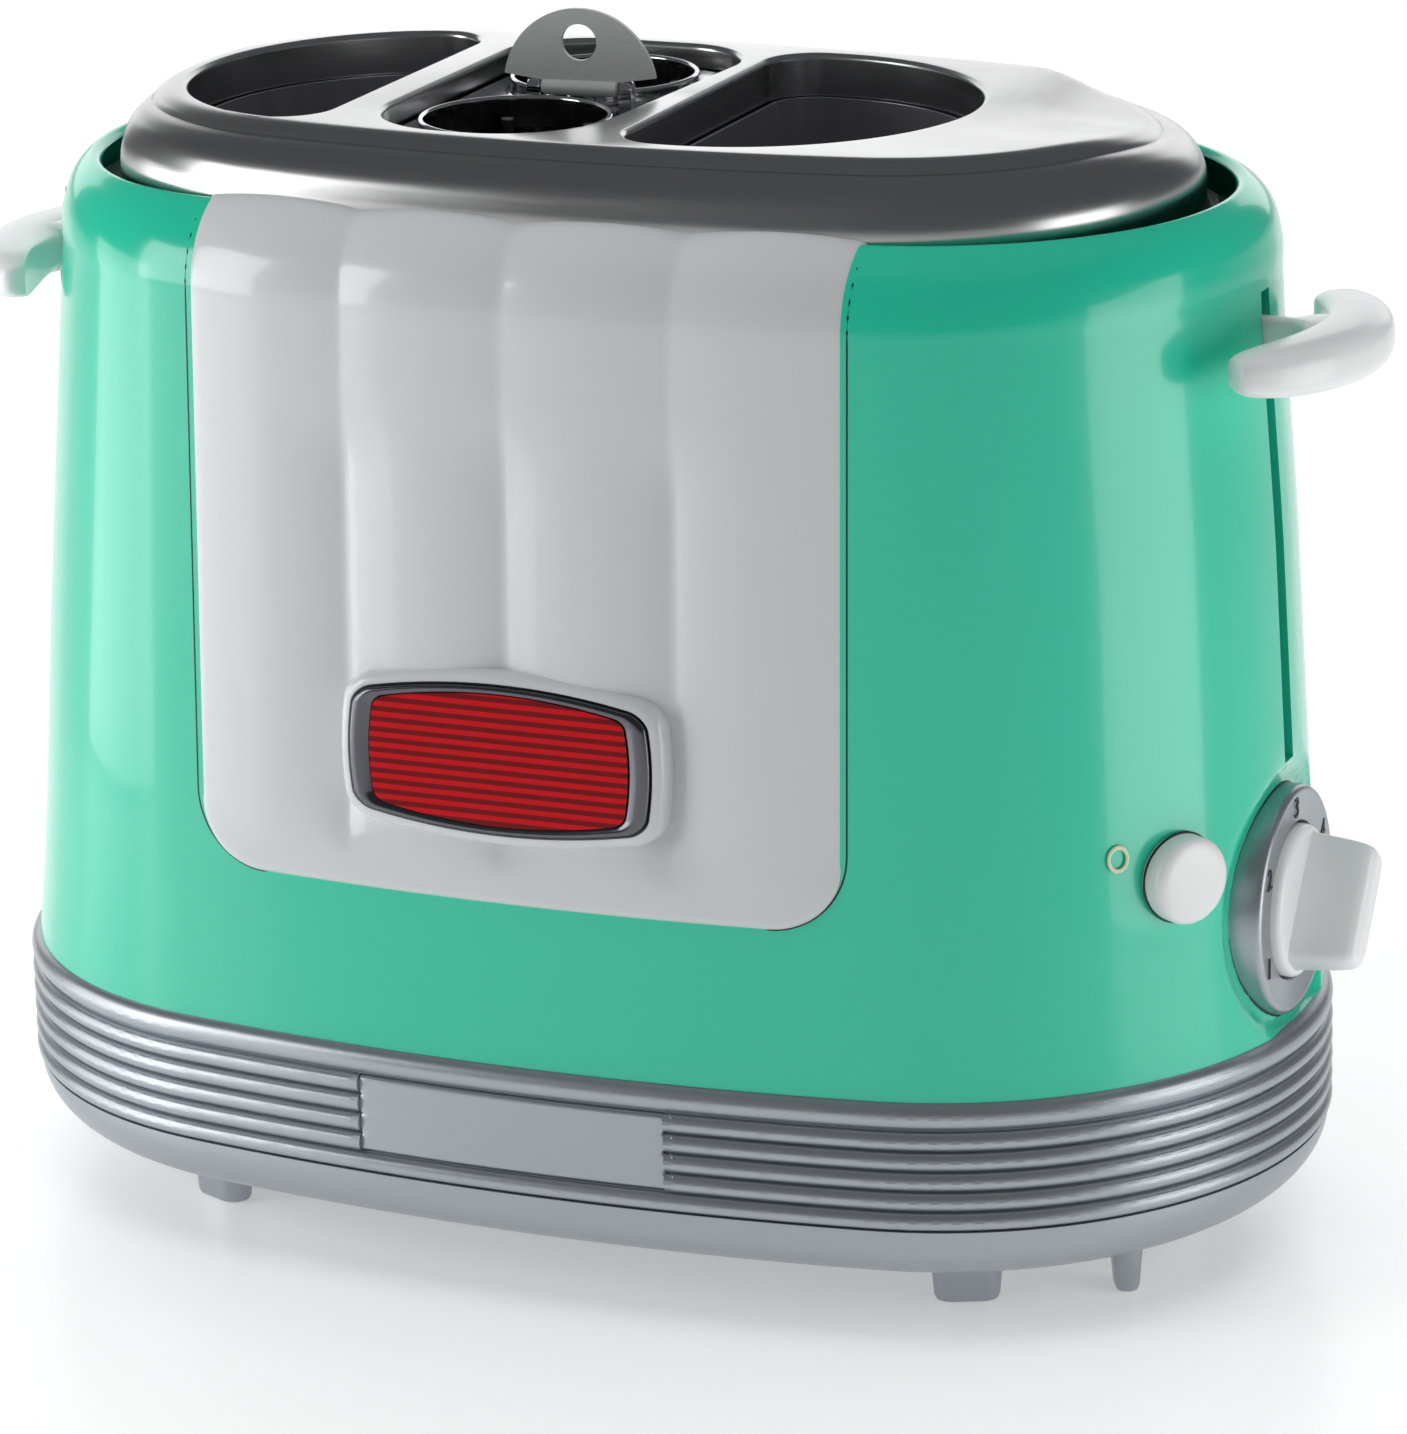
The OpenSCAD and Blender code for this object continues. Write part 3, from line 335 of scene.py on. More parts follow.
DARKCH = material("dark_chrome", (0.13, 0.13, 0.145), metal=1.0, rough=0.20, grain=500, bump=0.04,
                  vary=0.08, rough_vary=0.05)
BLACK = material("black", (0.012, 0.012, 0.013), rough=0.45, grain=800, bump=0.10, vary=0.15)
INK = material("ink", (0.02, 0.02, 0.022), rough=0.5, grain=1500, bump=0.05, vary=0.1)
CREAM = material("cream", (0.80, 0.78, 0.55), rough=0.45, grain=1500, bump=0.05, vary=0.04)
ZINC = material("zinc", (0.46, 0.47, 0.48), metal=0.9, rough=0.38, grain=260, bump=0.08, vary=0.16,
                rough_vary=0.10)
ROD = material("rod", (0.62, 0.62, 0.63), metal=1.0, rough=0.22, grain=500, stretch=(1, 1, 0.1), bump=0.06,
               vary=0.08)
MICA = material("mica", (0.46, 0.37, 0.23), rough=0.55, grain=220, stretch=(1, 3, 1), bump=0.20,
                depth=0.0004, vary=0.28, rough_vary=0.15)
RIBBON = material("ribbon", (0.30, 0.27, 0.25), metal=0.85, rough=0.45, grain=700, bump=0.10, vary=0.20)
COPPER = material("copper", (0.44, 0.18, 0.08), metal=0.9, rough=0.35, grain=500, stretch=(0.1, 0.1, 3),
                  bump=0.4, depth=0.0006, vary=0.2)
BOARD = material("board", (0.02, 0.13, 0.06), rough=0.42, grain=350, bump=0.10, vary=0.30)
BUSH = material("bush", (0.72, 0.70, 0.62), rough=0.5, grain=600, bump=0.08, vary=0.05)


STRIPE = 0.00188


def red_stripes():
    """Glossy red with level stripes, lighter and darker in turn."""
    m = material("red", (0.42, 0.004, 0.012), rough=0.30, coat=0.04, spec=0.15, grain=700, bump=0.02,
                 vary=0.05, rough_vary=0.03)
    nt = m.node_tree
    b = nt.nodes["Principled BSDF"]
    tc = nt.nodes["Texture Coordinate"]
    sep = nt.nodes.new("ShaderNodeSeparateXYZ")
    nt.links.new(tc.outputs["Object"], sep.inputs[0])
    ph = nt.nodes.new("ShaderNodeMath")
    ph.operation = "MULTIPLY"
    ph.inputs[1].default_value = 2 * math.pi / STRIPE
    nt.links.new(sep.outputs["Z"], ph.inputs[0])
    wv = nt.nodes.new("ShaderNodeMath")
    wv.operation = "SINE"
    nt.links.new(ph.outputs[0], wv.inputs[0])
    st = nt.nodes.new("ShaderNodeMapRange")
    st.interpolation_type = "SMOOTHSTEP"
    st.inputs["From Min"].default_value, st.inputs["From Max"].default_value = -0.35, 0.35
    nt.links.new(wv.outputs[0], st.inputs["Value"])
    mx = nt.nodes.new("ShaderNodeMix")
    mx.data_type = "RGBA"
    mx.inputs["A"].default_value = (0.17, 0.0006, 0.003, 1)
    mx.inputs["B"].default_value = (0.60, 0.001, 0.006, 1)
    nt.links.new(st.outputs["Result"], mx.inputs["Factor"])
    nt.links.new(mx.outputs["Result"], b.inputs["Base Color"])
    return m


RED = red_stripes()

# ---------- base ----------
PAN_H, RIB, RIB_N, TOP_RIB, RIB_OUT = 12.0, 3.75, 5, 5.2, 1.73
PAN_TOP = 10 + PAN_H
PLATE_Z0, PLATE_Z1, PLATE_HALF = PAN_TOP + RIB, SEAM - TOP_RIB - 0.1, 30.0
WINDOW_HALF, WINDOW_LOW, WINDOW_TOP = 61, PAN_TOP + 0.6, PAN_TOP + 11.6
# Visual skins stand this far outside the solids they cover
RING_SKIN, PAN_SKIN = 0.06, 0.07


def rib(zc, chord, n=10):
    """One rounded rib as (outwards, height), from its lower groove to its upper one."""
    c, groove = chord - 0.25, 0.15
    r = (c * c / 4 + RIB_OUT * RIB_OUT) / (2 * RIB_OUT)
    a = math.degrees(math.asin(c / 2 / r))
    return [(groove, zc - chord / 2)] + arc(RIB_OUT - r, zc, r, -a, a, n) + [(groove, zc + chord / 2)]


def pan_bowl():
    curve = [(1 - 15 * (1 - math.cos(t * RAD)), PAN_TOP - PAN_H * math.sin(t * RAD)) for t in lin(0, 90, 16)]
    prof = [(0.5, PAN_TOP - 0.02)] + [(o + PAN_SKIN, z - 0.05) for o, z in curve]
    v, f = sweep(prof, stations(K, END_R, 56, 60))
    make("pan_bowl", v, f, SATIN, sharp=30)


def plate_end(z):
    """Half length of the bare plate at a height: it bulges over each rib."""
    t = (z - PAN_TOP) / RIB % 1.0
    return PLATE_HALF + 1.1 * math.sqrt(max(0.0, 1 - (2 * t - 1) ** 2))


def ring_out(s, o, z):
    """The ribs sink behind the bare plate."""
    x = abs(s[0] + s[2] * s[3])
    if s[4] < 0 and PLATE_Z0 - 0.05 < z < PLATE_Z1 + 0.1:
        if x < plate_end(z) - 0.05:
            return -0.55
        if x < plate_end(z) + 0.35:
            return min(o, 0.25)
    return o


def ribbed_ring():
    rows = []
    for k in range(RIB_N):
        rows += rib(PAN_TOP + (k + 0.5) * RIB, RIB)[:-1]
    rows += rib(SEAM - TOP_RIB / 2, TOP_RIB)
    rows += [(-0.6, SEAM + 0.1), (-8, SEAM + 0.1)]
    marks = [s * (PLATE_HALF + d) for s in (-1, 1) for d in lin(-0.6, 1.5, 7)]
    st = stations(K, END_R, 56, 60, extra_front=marks)
    inlet = (END_C + END_R * math.cos(INLET_AZ * RAD), END_R * math.sin(INLET_AZ * RAD), INLET_Z)

    def skip(r, c):
        """Leaves the tray's window and the cord inlet to the solid behind."""
        z = (rows[r][1] + rows[r + 1][1]) / 2
        p = at(st[c], 0, z)
        window = p[1] > 0 and abs(p[0]) < WINDOW_HALF and WINDOW_LOW < z < WINDOW_TOP
        return window or math.dist(p, inlet) < INLET_HOLE

    v, f = grid([[at(s, ring_out(s, o, z) + RING_SKIN, z) for s in st] for o, z in rows], skip=skip)
    make("ribbed_ring", v, f, SATIN, sharp=42)


def bare_plate():
    zs = lin(PLATE_Z0 + 0.25, PLATE_Z1 - 0.1, 40)
    us = [-1, -0.996, -0.985] + lin(-0.97, 0.97, 40) + [0.985, 0.996, 1]
    rows = []
    for z in zs:
        e = plate_end(z) - 0.45
        row = []
        for u in us:
            edge = min((1 - abs(u)) * e, z - zs[0], zs[-1] - z)
            row.append(on_front(u * e, -0.5 + 1.4 * quarter(edge / 0.7), z))
        rows.append(row)
    v, f = grid(rows, close_u=False)
    make("bare_plate", v, f, SATIN, sharp=60, replaces=("nameplate",))


def foot(cx, cy, turn, l, w):
    """A foot with round ends, l long and w wide, turned in plan."""
    t = turn * RAD
    rows = []
    for z, g in ((0.0, -1.7), (0.25, -1.05), (1.0, -0.75), (9.9, 0.0), (10.6, 0.1)):
        row = []
        for c, s in turns(48):
            x = (l - w) / 2 * (1 if c > 0 else -1) + (w / 2 + g) * c
            y = (w / 2 + g) * s
            row.append((cx + x * math.cos(t) - y * math.sin(t), cy + x * math.sin(t) + y * math.cos(t), z))
        rows.append(row)
    v, f = grid(rows)
    cap(v, f, 0, 48, up=False)
    return v, f


def feet():
    v, f = join([foot(x * 75, y * 41.5, -x * y * 24, 13.5, 8) for x in (-1, 1) for y in (-1, 1)])
    make("rubber_feet", v, f, SATIN, replaces=("feet",))
    v, f = join([foot(END_C + 44, y * 27, y * 62, 8.5, 6) for y in (-1, 1)])
    make("end_posts", v, f, SATIN, replaces=("end_feet",))


# ---------- mint shell ----------
SLOT_W, SLOT0, SLOT1 = 4.4, SEAM + 48, SEAM + 134
SLOT_A = math.degrees(math.asin(SLOT_W / 2 / (END_R - 4)))
P_HALF, P_Z, P_C, PROUD, PITCH, LOBE_R, CREASE = 63.3, 30.0, 14.0, 1.2, 31.5, 33.0, 37.0
# The shell stops this far under the panel and inside this radius of the dial
UNDER, DIAL_HOLE = 0.9, 20.5


def panel_edge(x, h):
    """Distance inside the panel's outline."""
    dx = P_HALF - abs(x)
    if h >= P_C:
        return dx
    if abs(x) <= P_HALF - P_C:
        return h
    return P_C - math.hypot(abs(x) - (P_HALF - P_C), P_C - h)


def mint_shell():
    st = stations(K, END_R, 130, 60, extra_end=(-SLOT_A, SLOT_A, -SLOT_A - 0.6, SLOT_A + 0.6),
                  extra_front=(-62.2, 62.2, -61, 61))
    n = len(st)
    hs = {0, 0.4, 1.5, 3, 4.5, 6, 9, 12, 15, 18, 21, 24, 27, 31.2, 32.5, 34, 36, 39, 41, 43, 44.5, 46}
    hs = sorted(hs | {SLOT0 - SEAM, SLOT1 - SEAM, WALL_H} | set(lin(4, 130, 18)))
    outer = [(-TAPER * h, SEAM + h) for h in hs]
    lip_a, lip_r = SH_A - 2, 1.25
    outer += arc(-WALL_IN - SH_R, SEAM + WALL_H, SH_R, 4, lip_a, 14)
    ex, ez = outer[-1]
    cx, cz = ex - lip_r * math.cos(lip_a * RAD), ez - lip_r * math.sin(lip_a * RAD)
    roll = arc(cx, cz, lip_r, lip_a + 12, 180, 8)
    inner = [(o - WALL_T, z) for o, z in outer[::-1] if z < cz - 1]
    prof = outer + roll + inner

    def in_slot(s):
        """Whether the strip that starts at a station lies in an end slot."""
        a = math.degrees(math.atan2(s[4], s[3]))
        right = abs(a) < SLOT_A - 0.01 or abs(a + SLOT_A) < 0.01
        left = abs(abs(a) - 180) < SLOT_A - 0.01 or abs(a - (180 - SLOT_A)) < 0.01
        return s[1] == 0 and (right or left)

    slots = {c for c in range(n) if in_slot(st[c])}

    def skip(r, c):
        """Leaves out the end slots, the inside of the dial and what lies under the panel."""
        z = (prof[r][1] + prof[r + 1][1]) / 2
        if c in slots and SLOT0 < z < SLOT1 and prof[r][0] - prof[r + 1][0] < 3:
            return True
        q = [at(st[j], *prof[i]) for i in (r, r + 1) for j in (c, (c + 1) % n)]
        if all(p[0] > 90 and math.hypot(p[1], p[2] - DIAL_Z) < DIAL_HOLE for p in q):
            return True
        return st[c][1] > 0 and all(panel_edge(p[0], p[2] - SEAM - P_Z) >= UNDER for p in q)

    v, f = sweep(prof, st, skip=skip)
    v = [lean_ends(p) for p in v]
    # walls through the thickness round each slot
    rows = [i for i in range(len(hs)) if SLOT0 - 0.01 < prof[i][1] < SLOT1 + 0.01]
    first = len(outer) + len(roll)
    match = {i: first + next(j for j, p in enumerate(inner) if abs(p[1] - prof[i][1]) < 1e-6) for i in rows}
    for c in sorted(slots):
        d = (c + 1) % n
        for cc, beside, left in ((c, (c - 1) % n, True), (d, d, False)):
            if beside in slots:
                continue
            for a, b in zip(rows, rows[1:]):
                q = (a * n + cc, b * n + cc, match[b] * n + cc, match[a] * n + cc)
                f.append(q if left else q[::-1])
        for r, low in ((rows[0], True), (rows[-1], False)):
            q = (r * n + c, r * n + d, match[r] * n + d, match[r] * n + c)
            f.append(q if low else q[::-1])
    make("mint_shell", v, f, MINT, sharp=30, replaces=("body_shell",))


# ---------- fluted panel ----------
FLUTE_DEPTH, LIP_DEPTH, SIDE_DEPTH = 0.66, 0.45, 0.35
PAST_LIP = 200.0


def panel_profile():
    """(outwards, height, normal outwards, normal up, distance above the panel's foot), up over the lip."""
    lean = math.atan(TAPER)
    foot_hs = (0, 0.12, 0.3, 0.55, 0.9, 1.3, 1.8, 2.5, 3.4, 4.5, 5.8, 7.3, 9, 11, 13, 15)
    out = []
    for h in [P_Z + d for d in foot_hs] + lin(P_Z + 17.5, WALL_H - 1, 46):
        out.append((-TAPER * h, SEAM + h, math.cos(lean), math.sin(lean), h - P_Z))
    end = SH_A + 2
    for t in lin(5, end, 16):
        c, s = math.cos(t * RAD), math.sin(t * RAD)
        z = SEAM + WALL_H + SH_R * s
        out.append((-WALL_IN - SH_R + SH_R * c, z, c, s, z - SEAM - P_Z))
    o0, z0, no, nz, _ = out[-1]
    r = 1.5
    cx, cz = o0 - r * no, z0 - r * nz
    out += [(x, z, no, nz, PAST_LIP) for x, z in arc(cx, cz, r, end + 12, 180, 8)]
    out.append((cx - r, cz - 9, no, nz, PAST_LIP))
    return out


def flute(x, h):
    """Depth of the panel below its crests at x, fading out towards the foot and easing at the lip."""
    if abs(x) > 1.5 * PITCH:
        d = (abs(x) - 1.5 * PITCH) ** 2 / (2 * LOBE_R) * SIDE_DEPTH
        return d * min(1, max(0, (h - CREASE + 4) / 10))
    t = (x + 2 * PITCH) % PITCH
    t = min(t, PITCH - t)
    soft = 0.8
    d = (PITCH / 2 - t) ** 2 - max(0, soft - t) ** 2 * (PITCH / 2) / soft
    d = d / (2 * LOBE_R) * FLUTE_DEPTH
    return d * ease((h - CREASE + 3) / 16) * (LIP_DEPTH + (1 - LIP_DEPTH) * ease((121 - h) / 16))


def fluted_panel():
    side, depth, edge_w = [0, 0.12, 0.3, 0.55, 0.9, 1.3, 1.8, 2.6, 3.8], 0.7, 1.5
    us = [-1 + d / P_HALF for d in side] + lin(-1 + 5.2 / P_HALF, 1 - 5.2 / P_HALF, 150)
    us += [1 - d / P_HALF for d in side[::-1]]
    rows = []
    for o, z, no, nz, h in panel_profile():
        w = P_HALF if h >= P_C else P_HALF - P_C + math.sqrt(max(0.0, P_C ** 2 - (P_C - h) ** 2))
        row = []
        for u in us:
            x = u * w
            k = quarter(max(0.0, panel_edge(x, h)) / edge_w)
            d = -depth + (PROUD + depth) * k - flute(x, h + P_Z)
            row.append(on_front(x, o + d * no, z + d * nz))
        rows.append(row)
    v, f = grid(rows, close_u=False)
    make("fluted_panel", v, f, PALE, sharp=50, replaces=("front_panel",))


def wall_out(h):
    """How far out the body's wall lies at a height above the seam."""
    if h <= WALL_H:
        return -TAPER * h
    return -WALL_IN - SH_R + math.sqrt(max(0, SH_R ** 2 - (h - WALL_H) ** 2))


def panel_gap_shade():
    """Black strip round the panel: painted shade, standing in for the shadow in the gap between panel and
    shell.
    """
    path = [(-P_HALF, P_Z + h) for h in lin(117, P_C, 40)]
    for t in lin(5, 90, 16):
        path.append((-P_HALF + P_C - P_C * math.cos(t * RAD), P_Z + P_C - P_C * math.sin(t * RAD)))
    path += [(-x, h) for x, h in path[::-1]]
    rows = [[], [], []]
    for i, (x, h) in enumerate(path):
        a, b = path[max(i - 1, 0)], path[min(i + 1, len(path) - 1)]
        tx, th = b[0] - a[0], b[1] - a[1]
        l = math.hypot(tx, th) or 1
        nx, nh = th / l, -tx / l
        for row, (g, o) in zip(rows, ((-0.6, -0.15), (0.05, 0.06), (0.35, -0.05))):
            px, ph = x - nx * g, h - nh * g
            row.append(on_front(px, wall_out(ph) + o, SEAM + ph))
    v, f = grid(rows, close_u=False)
    make("panel_gap_shade", v, f, BLACK, sharp=0)


# ---------- badge ----------
BADGE_Z, BADGE_L, BADGE_H, RIM = 57.0, 58.0, 26.7, 3.0
badge = frame_at((0, -HALF_W + TAPER * BADGE_Z, SEAM + BADGE_Z), -90, math.degrees(math.atan(TAPER)))


def bulge(x, z, half_x, half_z):
    """Draws a rectangle's corners in, so that its sides bulge."""
    return (x * (1 - 0.04 * (z / half_z) ** 2), z * (1 - 0.22 * (x / half_x) ** 2))


def barrel(grow, n=12):
    """Bulging rectangle with small round corners, as evenly laid points."""
    inner = min(grow, 0.0)
    x, z, r = BADGE_L / 2 + grow + 0.35 * inner, BADGE_H / 2 + grow - 0.5 * inner, 3.3 + grow * 0.5
    pts = []
    for cx, cz, a0 in ((1, 1, 0), (-1, 1, 90), (-1, -1, 180), (1, -1, 270)):
        pts += arc(cx * (x - r), cz * (z - r), r, a0, a0 + 90, n)
        run = 24 if a0 in (0, 180) else 8
        q = pts[-1]
        e = {0: (-(x - r), z), 90: (-x, -(z - r)), 180: (x - r, -z), 270: (x, z - r)}[a0]
        pts += [(q[0] + (e[0] - q[0]) * i / run, q[1] + (e[1] - q[1]) * i / run) for i in range(1, run)]
    return [bulge(px, pz, x, z) for px, pz in pts]


def badge_loft(name, steps, mat, sharp=60, replaces=()):
    """A ring round the badge through (growth, outwards) steps."""
    v, f = grid([[badge(o, x, z) for x, z in barrel(g)] for g, o in steps])
    make(name, v, f, mat, sharp=sharp, replaces=replaces)


def badge_trim():
    surround = [(2.7, -3.0), (2.55, 0.2), (2.35, 0.9), (2.0, 1.5), (1.6, 1.85), (1.2, 2.05), (0.9, 2.15),
                (0.5, 2.2), (0.35, 1.9), (0.35, 1.2)]
    badge_loft("badge_surround", surround, PALE)
    # black floor of the gap between surround and rim: painted shade in the gap
    badge_loft("badge_gap_shade", [(0.4, 1.1), (0.4, 1.7), (-1, 1.7)], BLACK, sharp=30)
    rim = [(0.05, 1.2), (0.05, 2.3), (-0.1, 2.75), (-0.5, 3.0), (-1.2, 3.1), (-2.0, 2.95), (-2.6, 2.65),
           (-RIM, 2.3), (-RIM, 1.8)]
    badge_loft("badge_rim", rim, DARKCH, replaces=("badge_bezel",))


def badge_face():
    """The plate inside the rim, laid out in straight rows so that its face stays smooth."""
    X, Z, r = BADGE_L / 2 - 1.35 * RIM + 0.1, BADGE_H / 2 - 0.5 * RIM + 0.1, 2.0
    rows = []
    for t in lin(-1, 1, 28):
        t = math.copysign(1 - (1 - abs(t)) ** 1.25, t)
        row = []
        for u in lin(-1, 1, 48):
            u = math.copysign(1 - (1 - abs(u)) ** 1.25, u)
            # a square mapped onto the plate's rounded outline
            x, z = u * X, t * Z
            if abs(x) > X - r and abs(z) > Z - r:
                ax, az = (abs(x) - X + r) / r, (abs(z) - Z + r) / r
                m = max(ax, az) / math.hypot(ax, az)
                x, z = math.copysign(X - r + ax * m * r, x), math.copysign(Z - r + az * m * r, z)
            fall = max(0.0, max(abs(u), abs(t)) - 0.9)
            row.append(badge(2.75 - 5 * fall * fall, *bulge(x, z, X, Z)))
        rows.append(row)
    v, f = grid(rows, close_u=False, flip=True)
    make("badge_face", v, f, RED, sharp=60, replaces=("badge_insert",))


# ---------- lid ----------
EDGE_R, ROLL = 12.0, 1.1


def well_pts(edge, cx, r, side, grow):
    """Outline of a bun well: a large outer arc, a straight inner edge and a corner at each of its ends."""
    corner, m = 9.0, 18
    qx = edge + side * corner
    qy = math.sqrt((r - corner) ** 2 - (qx - cx) ** 2)
    a = math.degrees(math.atan2(qy, side * (qx - cx)))
    pts = arc(side * cx, 0, r + grow, -a, a, 90) + arc(side * qx, qy, corner + grow, a, 180, 22)[1:]
    pts += [(side * edge - grow, qy - 2 * qy * i / m) for i in range(1, m)]
    pts += arc(side * qx, -qy, corner + grow, 180, 360 - a, 22)[:-1]
    out = [(side * p[0], p[1]) for p in pts]
    return out if side > 0 else out[::-1]


def left_well(grow):
    return well_pts(-49.0, -47.0, 41.5, -1, grow)


def right_well(grow):
    return well_pts(10.0, 21.5, 40.5, 1, grow)


def basket_pts(grow):
    """Outline of the basket's opening, with its long straight runs filled in."""
    w, l, rf, rb, m = 23.0, 41.5, 19.0, 15.0, 26
    pts = arc(BASKET_X + w - 3 - rf, -l + rf, rf + grow, -90, 0, m)
    pts += arc(BASKET_X + w - rb, l - rb, rb + grow, 0, 90, m)
    pts += arc(BASKET_X - w + rb, l - rb, rb + grow, 90, 180, m)
    pts += arc(BASKET_X - w + rf, -l + rf, rf + grow, 180, 270, m)
    out = []
    for p, q in zip(pts, pts[1:] + pts[:1]):
        out.append(p)
        k = int(math.hypot(q[0] - p[0], q[1] - p[1]) / 4)
        out += [(p[0] + (q[0] - p[0]) * j / k, p[1] + (q[1] - p[1]) * j / k) for j in range(1, k)]
    return out


def top_drop(x, y):
    """Behind the right well the lid steps down gently towards the dial end."""
    return 2.8 * ease((x - 60) / 17) * ease((y + 22) / 40)


def lid_ends(p):
    """The lid's left end is a little shorter than its right one."""
    return (p[0] + 3.4 * ease((-88.6 - p[0]) / 9), p[1], p[2])


def lid_side(low):
    """(outwards, height) from the lid's flat top over its edge to the curl at its foot."""
    bend_r, bend_x, bend_z = 5.2, 4.31, 2.29
    out = []
    for t in lin(6, 56, 9):
        out.append((-EDGE_R + bend_r * math.sin(t * RAD), LID - bend_r + bend_r * math.cos(t * RAD)))
    for t in lin(12, 90, 10):
        o = -EDGE_R + bend_x + (EDGE_R - bend_x) * math.sin(t * RAD) ** 0.92
        out.append((o, LID - bend_z - (EDGE_R - bend_z) * (1 - math.cos(t * RAD)) ** 0.92))
    curl = ((0.0, 2.2), (0.25, 1.2), (0.7, 0.5), (0.9, 0), (0.5, -0.4), (-0.8, -0.4))
    return out + [(o, low + z) for o, z in curl]


def steel_lid():
    st = stations(LK, LID_R, 56, 56)
    wells = (left_well, right_well, basket_pts)
    loops = [[at(s, -EDGE_R, 0)[:2] for s in st]] + [pts_of(ROLL) for pts_of in wells]
    pts, faces = plate(loops, 3.0)
    verts = [(x, y, LID - top_drop(x, y)) for x, y in pts]

    def add_ring(prev, pts, into_well):
        """Joins a new row of points to the row before it."""
        row = list(range(len(verts), len(verts) + len(pts)))
        verts.extend(pts)
        for c in range(len(prev)):
            d = (c + 1) % len(prev)
            down, out = (row[d], row[c], prev[c], prev[d]), (prev[c], row[c], row[d], prev[d])
            faces.append(down if into_well else out)
        return row

    low = PLATE_Z + 1.4
    b = len(loops[0])
    prev = list(range(b))
    for o, z in lid_side(low):
        share = max(0.0, min(1.0, (z - low) / (LID - low)))
        ring = [at(s, o, z) for s in st]
        prev = add_ring(prev, [(x, y, z - top_drop(x, y) * share) for x, y, _ in ring], False)
    # rolled rims down into the wells
    rim = [(ROLL - ROLL * math.sin(t * RAD), LID - ROLL + ROLL * math.cos(t * RAD)) for t in lin(12, 90, 7)]
    for loop, pts_of in zip(loops[1:], wells):
        prev = list(range(b, b + len(loop)))
        for grow, z in rim + [(0.0, LID - 12)]:
            prev = add_ring(prev, [(x, y, z - top_drop(x, y)) for x, y in pts_of(grow)], True)
        b += len(loop)
    verts = [lid_ends(p) for p in verts]
    make("steel_lid", verts, faces, BRUSH, sharp=38, replaces=("top_cover",))


# ---------- bun liners ----------
def liner(name, pts_of, x0, node):
    """Lining of a bun well, slotted front and back for the two bars of its bun rest."""
    z0, z1 = SEAM + 1.2, LID - 8
    lo, hi = RING_Z - REST_DROP - TRAVEL - 3, RING_Z - REST_DROP + 13
    zs = sorted({z1, z1 - 3, lo, hi} | set(lin(z1 - 8, z0, 14)), reverse=True)
    inside, outside = pts_of(-1.4), pts_of(-0.75)
    m = len(inside)

    def gap(r, c):
        z = (zs[r] + zs[r + 1]) / 2
        x = (inside[c][0] + inside[(c + 1) % m][0]) / 2
        near = min(abs(x - x0 - 5), abs(x - x0 + 5)) < 1.9
        return lo < z < hi and abs(inside[c][1]) > 15 and near

    wall = grid([[(x, y, z) for x, y in inside] for z in zs], skip=gap)
    back = grid([[(x, y, z) for x, y in outside] for z in zs], skip=gap, flip=True)
    rim = grid([[(x, y, z1) for x, y in pts] for pts in (outside, inside)], flip=True)
    v, f = join([wall, back, rim])
    make(name, v, f, LINING, sharp=30, replaces=(node,))


# ---------- basket ----------
TAB_TURN, TAB_X, TAB_R, BARREL_R = 5.5, -13.4, 14.6, 1.5
EAR0, EAR_W, EAR_HALF = 7.6, 2.4, 1.45


def tab_place(x, y, z):
    """Local (along the hinge, across it, up) points at the tab's hinge."""
    c, s = math.cos(TAB_TURN * RAD), math.sin(TAB_TURN * RAD)
    return (TAB_X + x * c - y * s, x * s + y * c, HINGE_Z + z)


def rod_along(x0, x1, n=28, bev=0.3):
    """A round rod on the hinge line from x0 to x1."""
    r = BARREL_R
    v, f = revolve([(r - bev, x0), (r, x0 + bev), (r, x1 - bev), (r - bev, x1)], tab_place, n)
    cap(v, f, 0, n, up=False)
    cap(v, f, 3, n, up=True)
    return v, f


def basket_top():
    r_hole, top_z = COLLAR_R - 0.5, FLANGE_Z + 1.1
    outline = basket_pts(-1.2)
    holes = [[(BASKET_X + r_hole * c, y * HOLE_Y + r_hole * s) for c, s in turns(72)] for y in (-1, 1)]
    pts, tri = plate([outline] + holes, 4.0)
    parts = [([(x, y, top_z) for x, y in pts], tri)]
    parts.append(grid([[(x, y, z) for x, y in outline] for z in (FLANGE_Z, top_z)]))
    prof = [(COLLAR_R + 0.9, top_z), (COLLAR_R + 0.25, FLANGE_Z + 1.35), (COLLAR_R - 0.05, FLANGE_Z + 2.0),
            (COLLAR_R - 0.05, COLLAR_Z - 1.0)]
    prof += arc(COLLAR_R - 0.55, COLLAR_Z - 0.55, 0.55, 0, 180, 10)
    prof += [(COLLAR_R - 1.1, COLLAR_Z - 1.5), (COLLAR_R - 1.1, FLANGE_Z - 1.6)]
    for y in (-1, 1):
        rows = [[(BASKET_X + r * c, y * HOLE_Y + r * s, z) for c, s in turns(96)] for r, z in prof]
        parts.append(grid(rows))
    for x0 in (-EAR0 - EAR_W, EAR0):
        x1 = x0 + EAR_W
        parts.append(rod_along(x0, x1))
        corners = ((x0, -EAR_HALF), (x1, -EAR_HALF), (x1, EAR_HALF), (x0, EAR_HALF))
        box = [tab_place(x, y, z) for z in (FLANGE_Z - HINGE_Z + 0.9, 0) for x, y in corners]
        parts.append((box, [(0, 1, 5, 4), (1, 2, 6, 5), (2, 3, 7, 6), (3, 0, 4, 7), (4, 5, 6, 7)]))
    v, f = join(parts)
    make("basket_top", v, f, POLISH, body="basket", sharp=38,
         replaces=("basket_flange",))


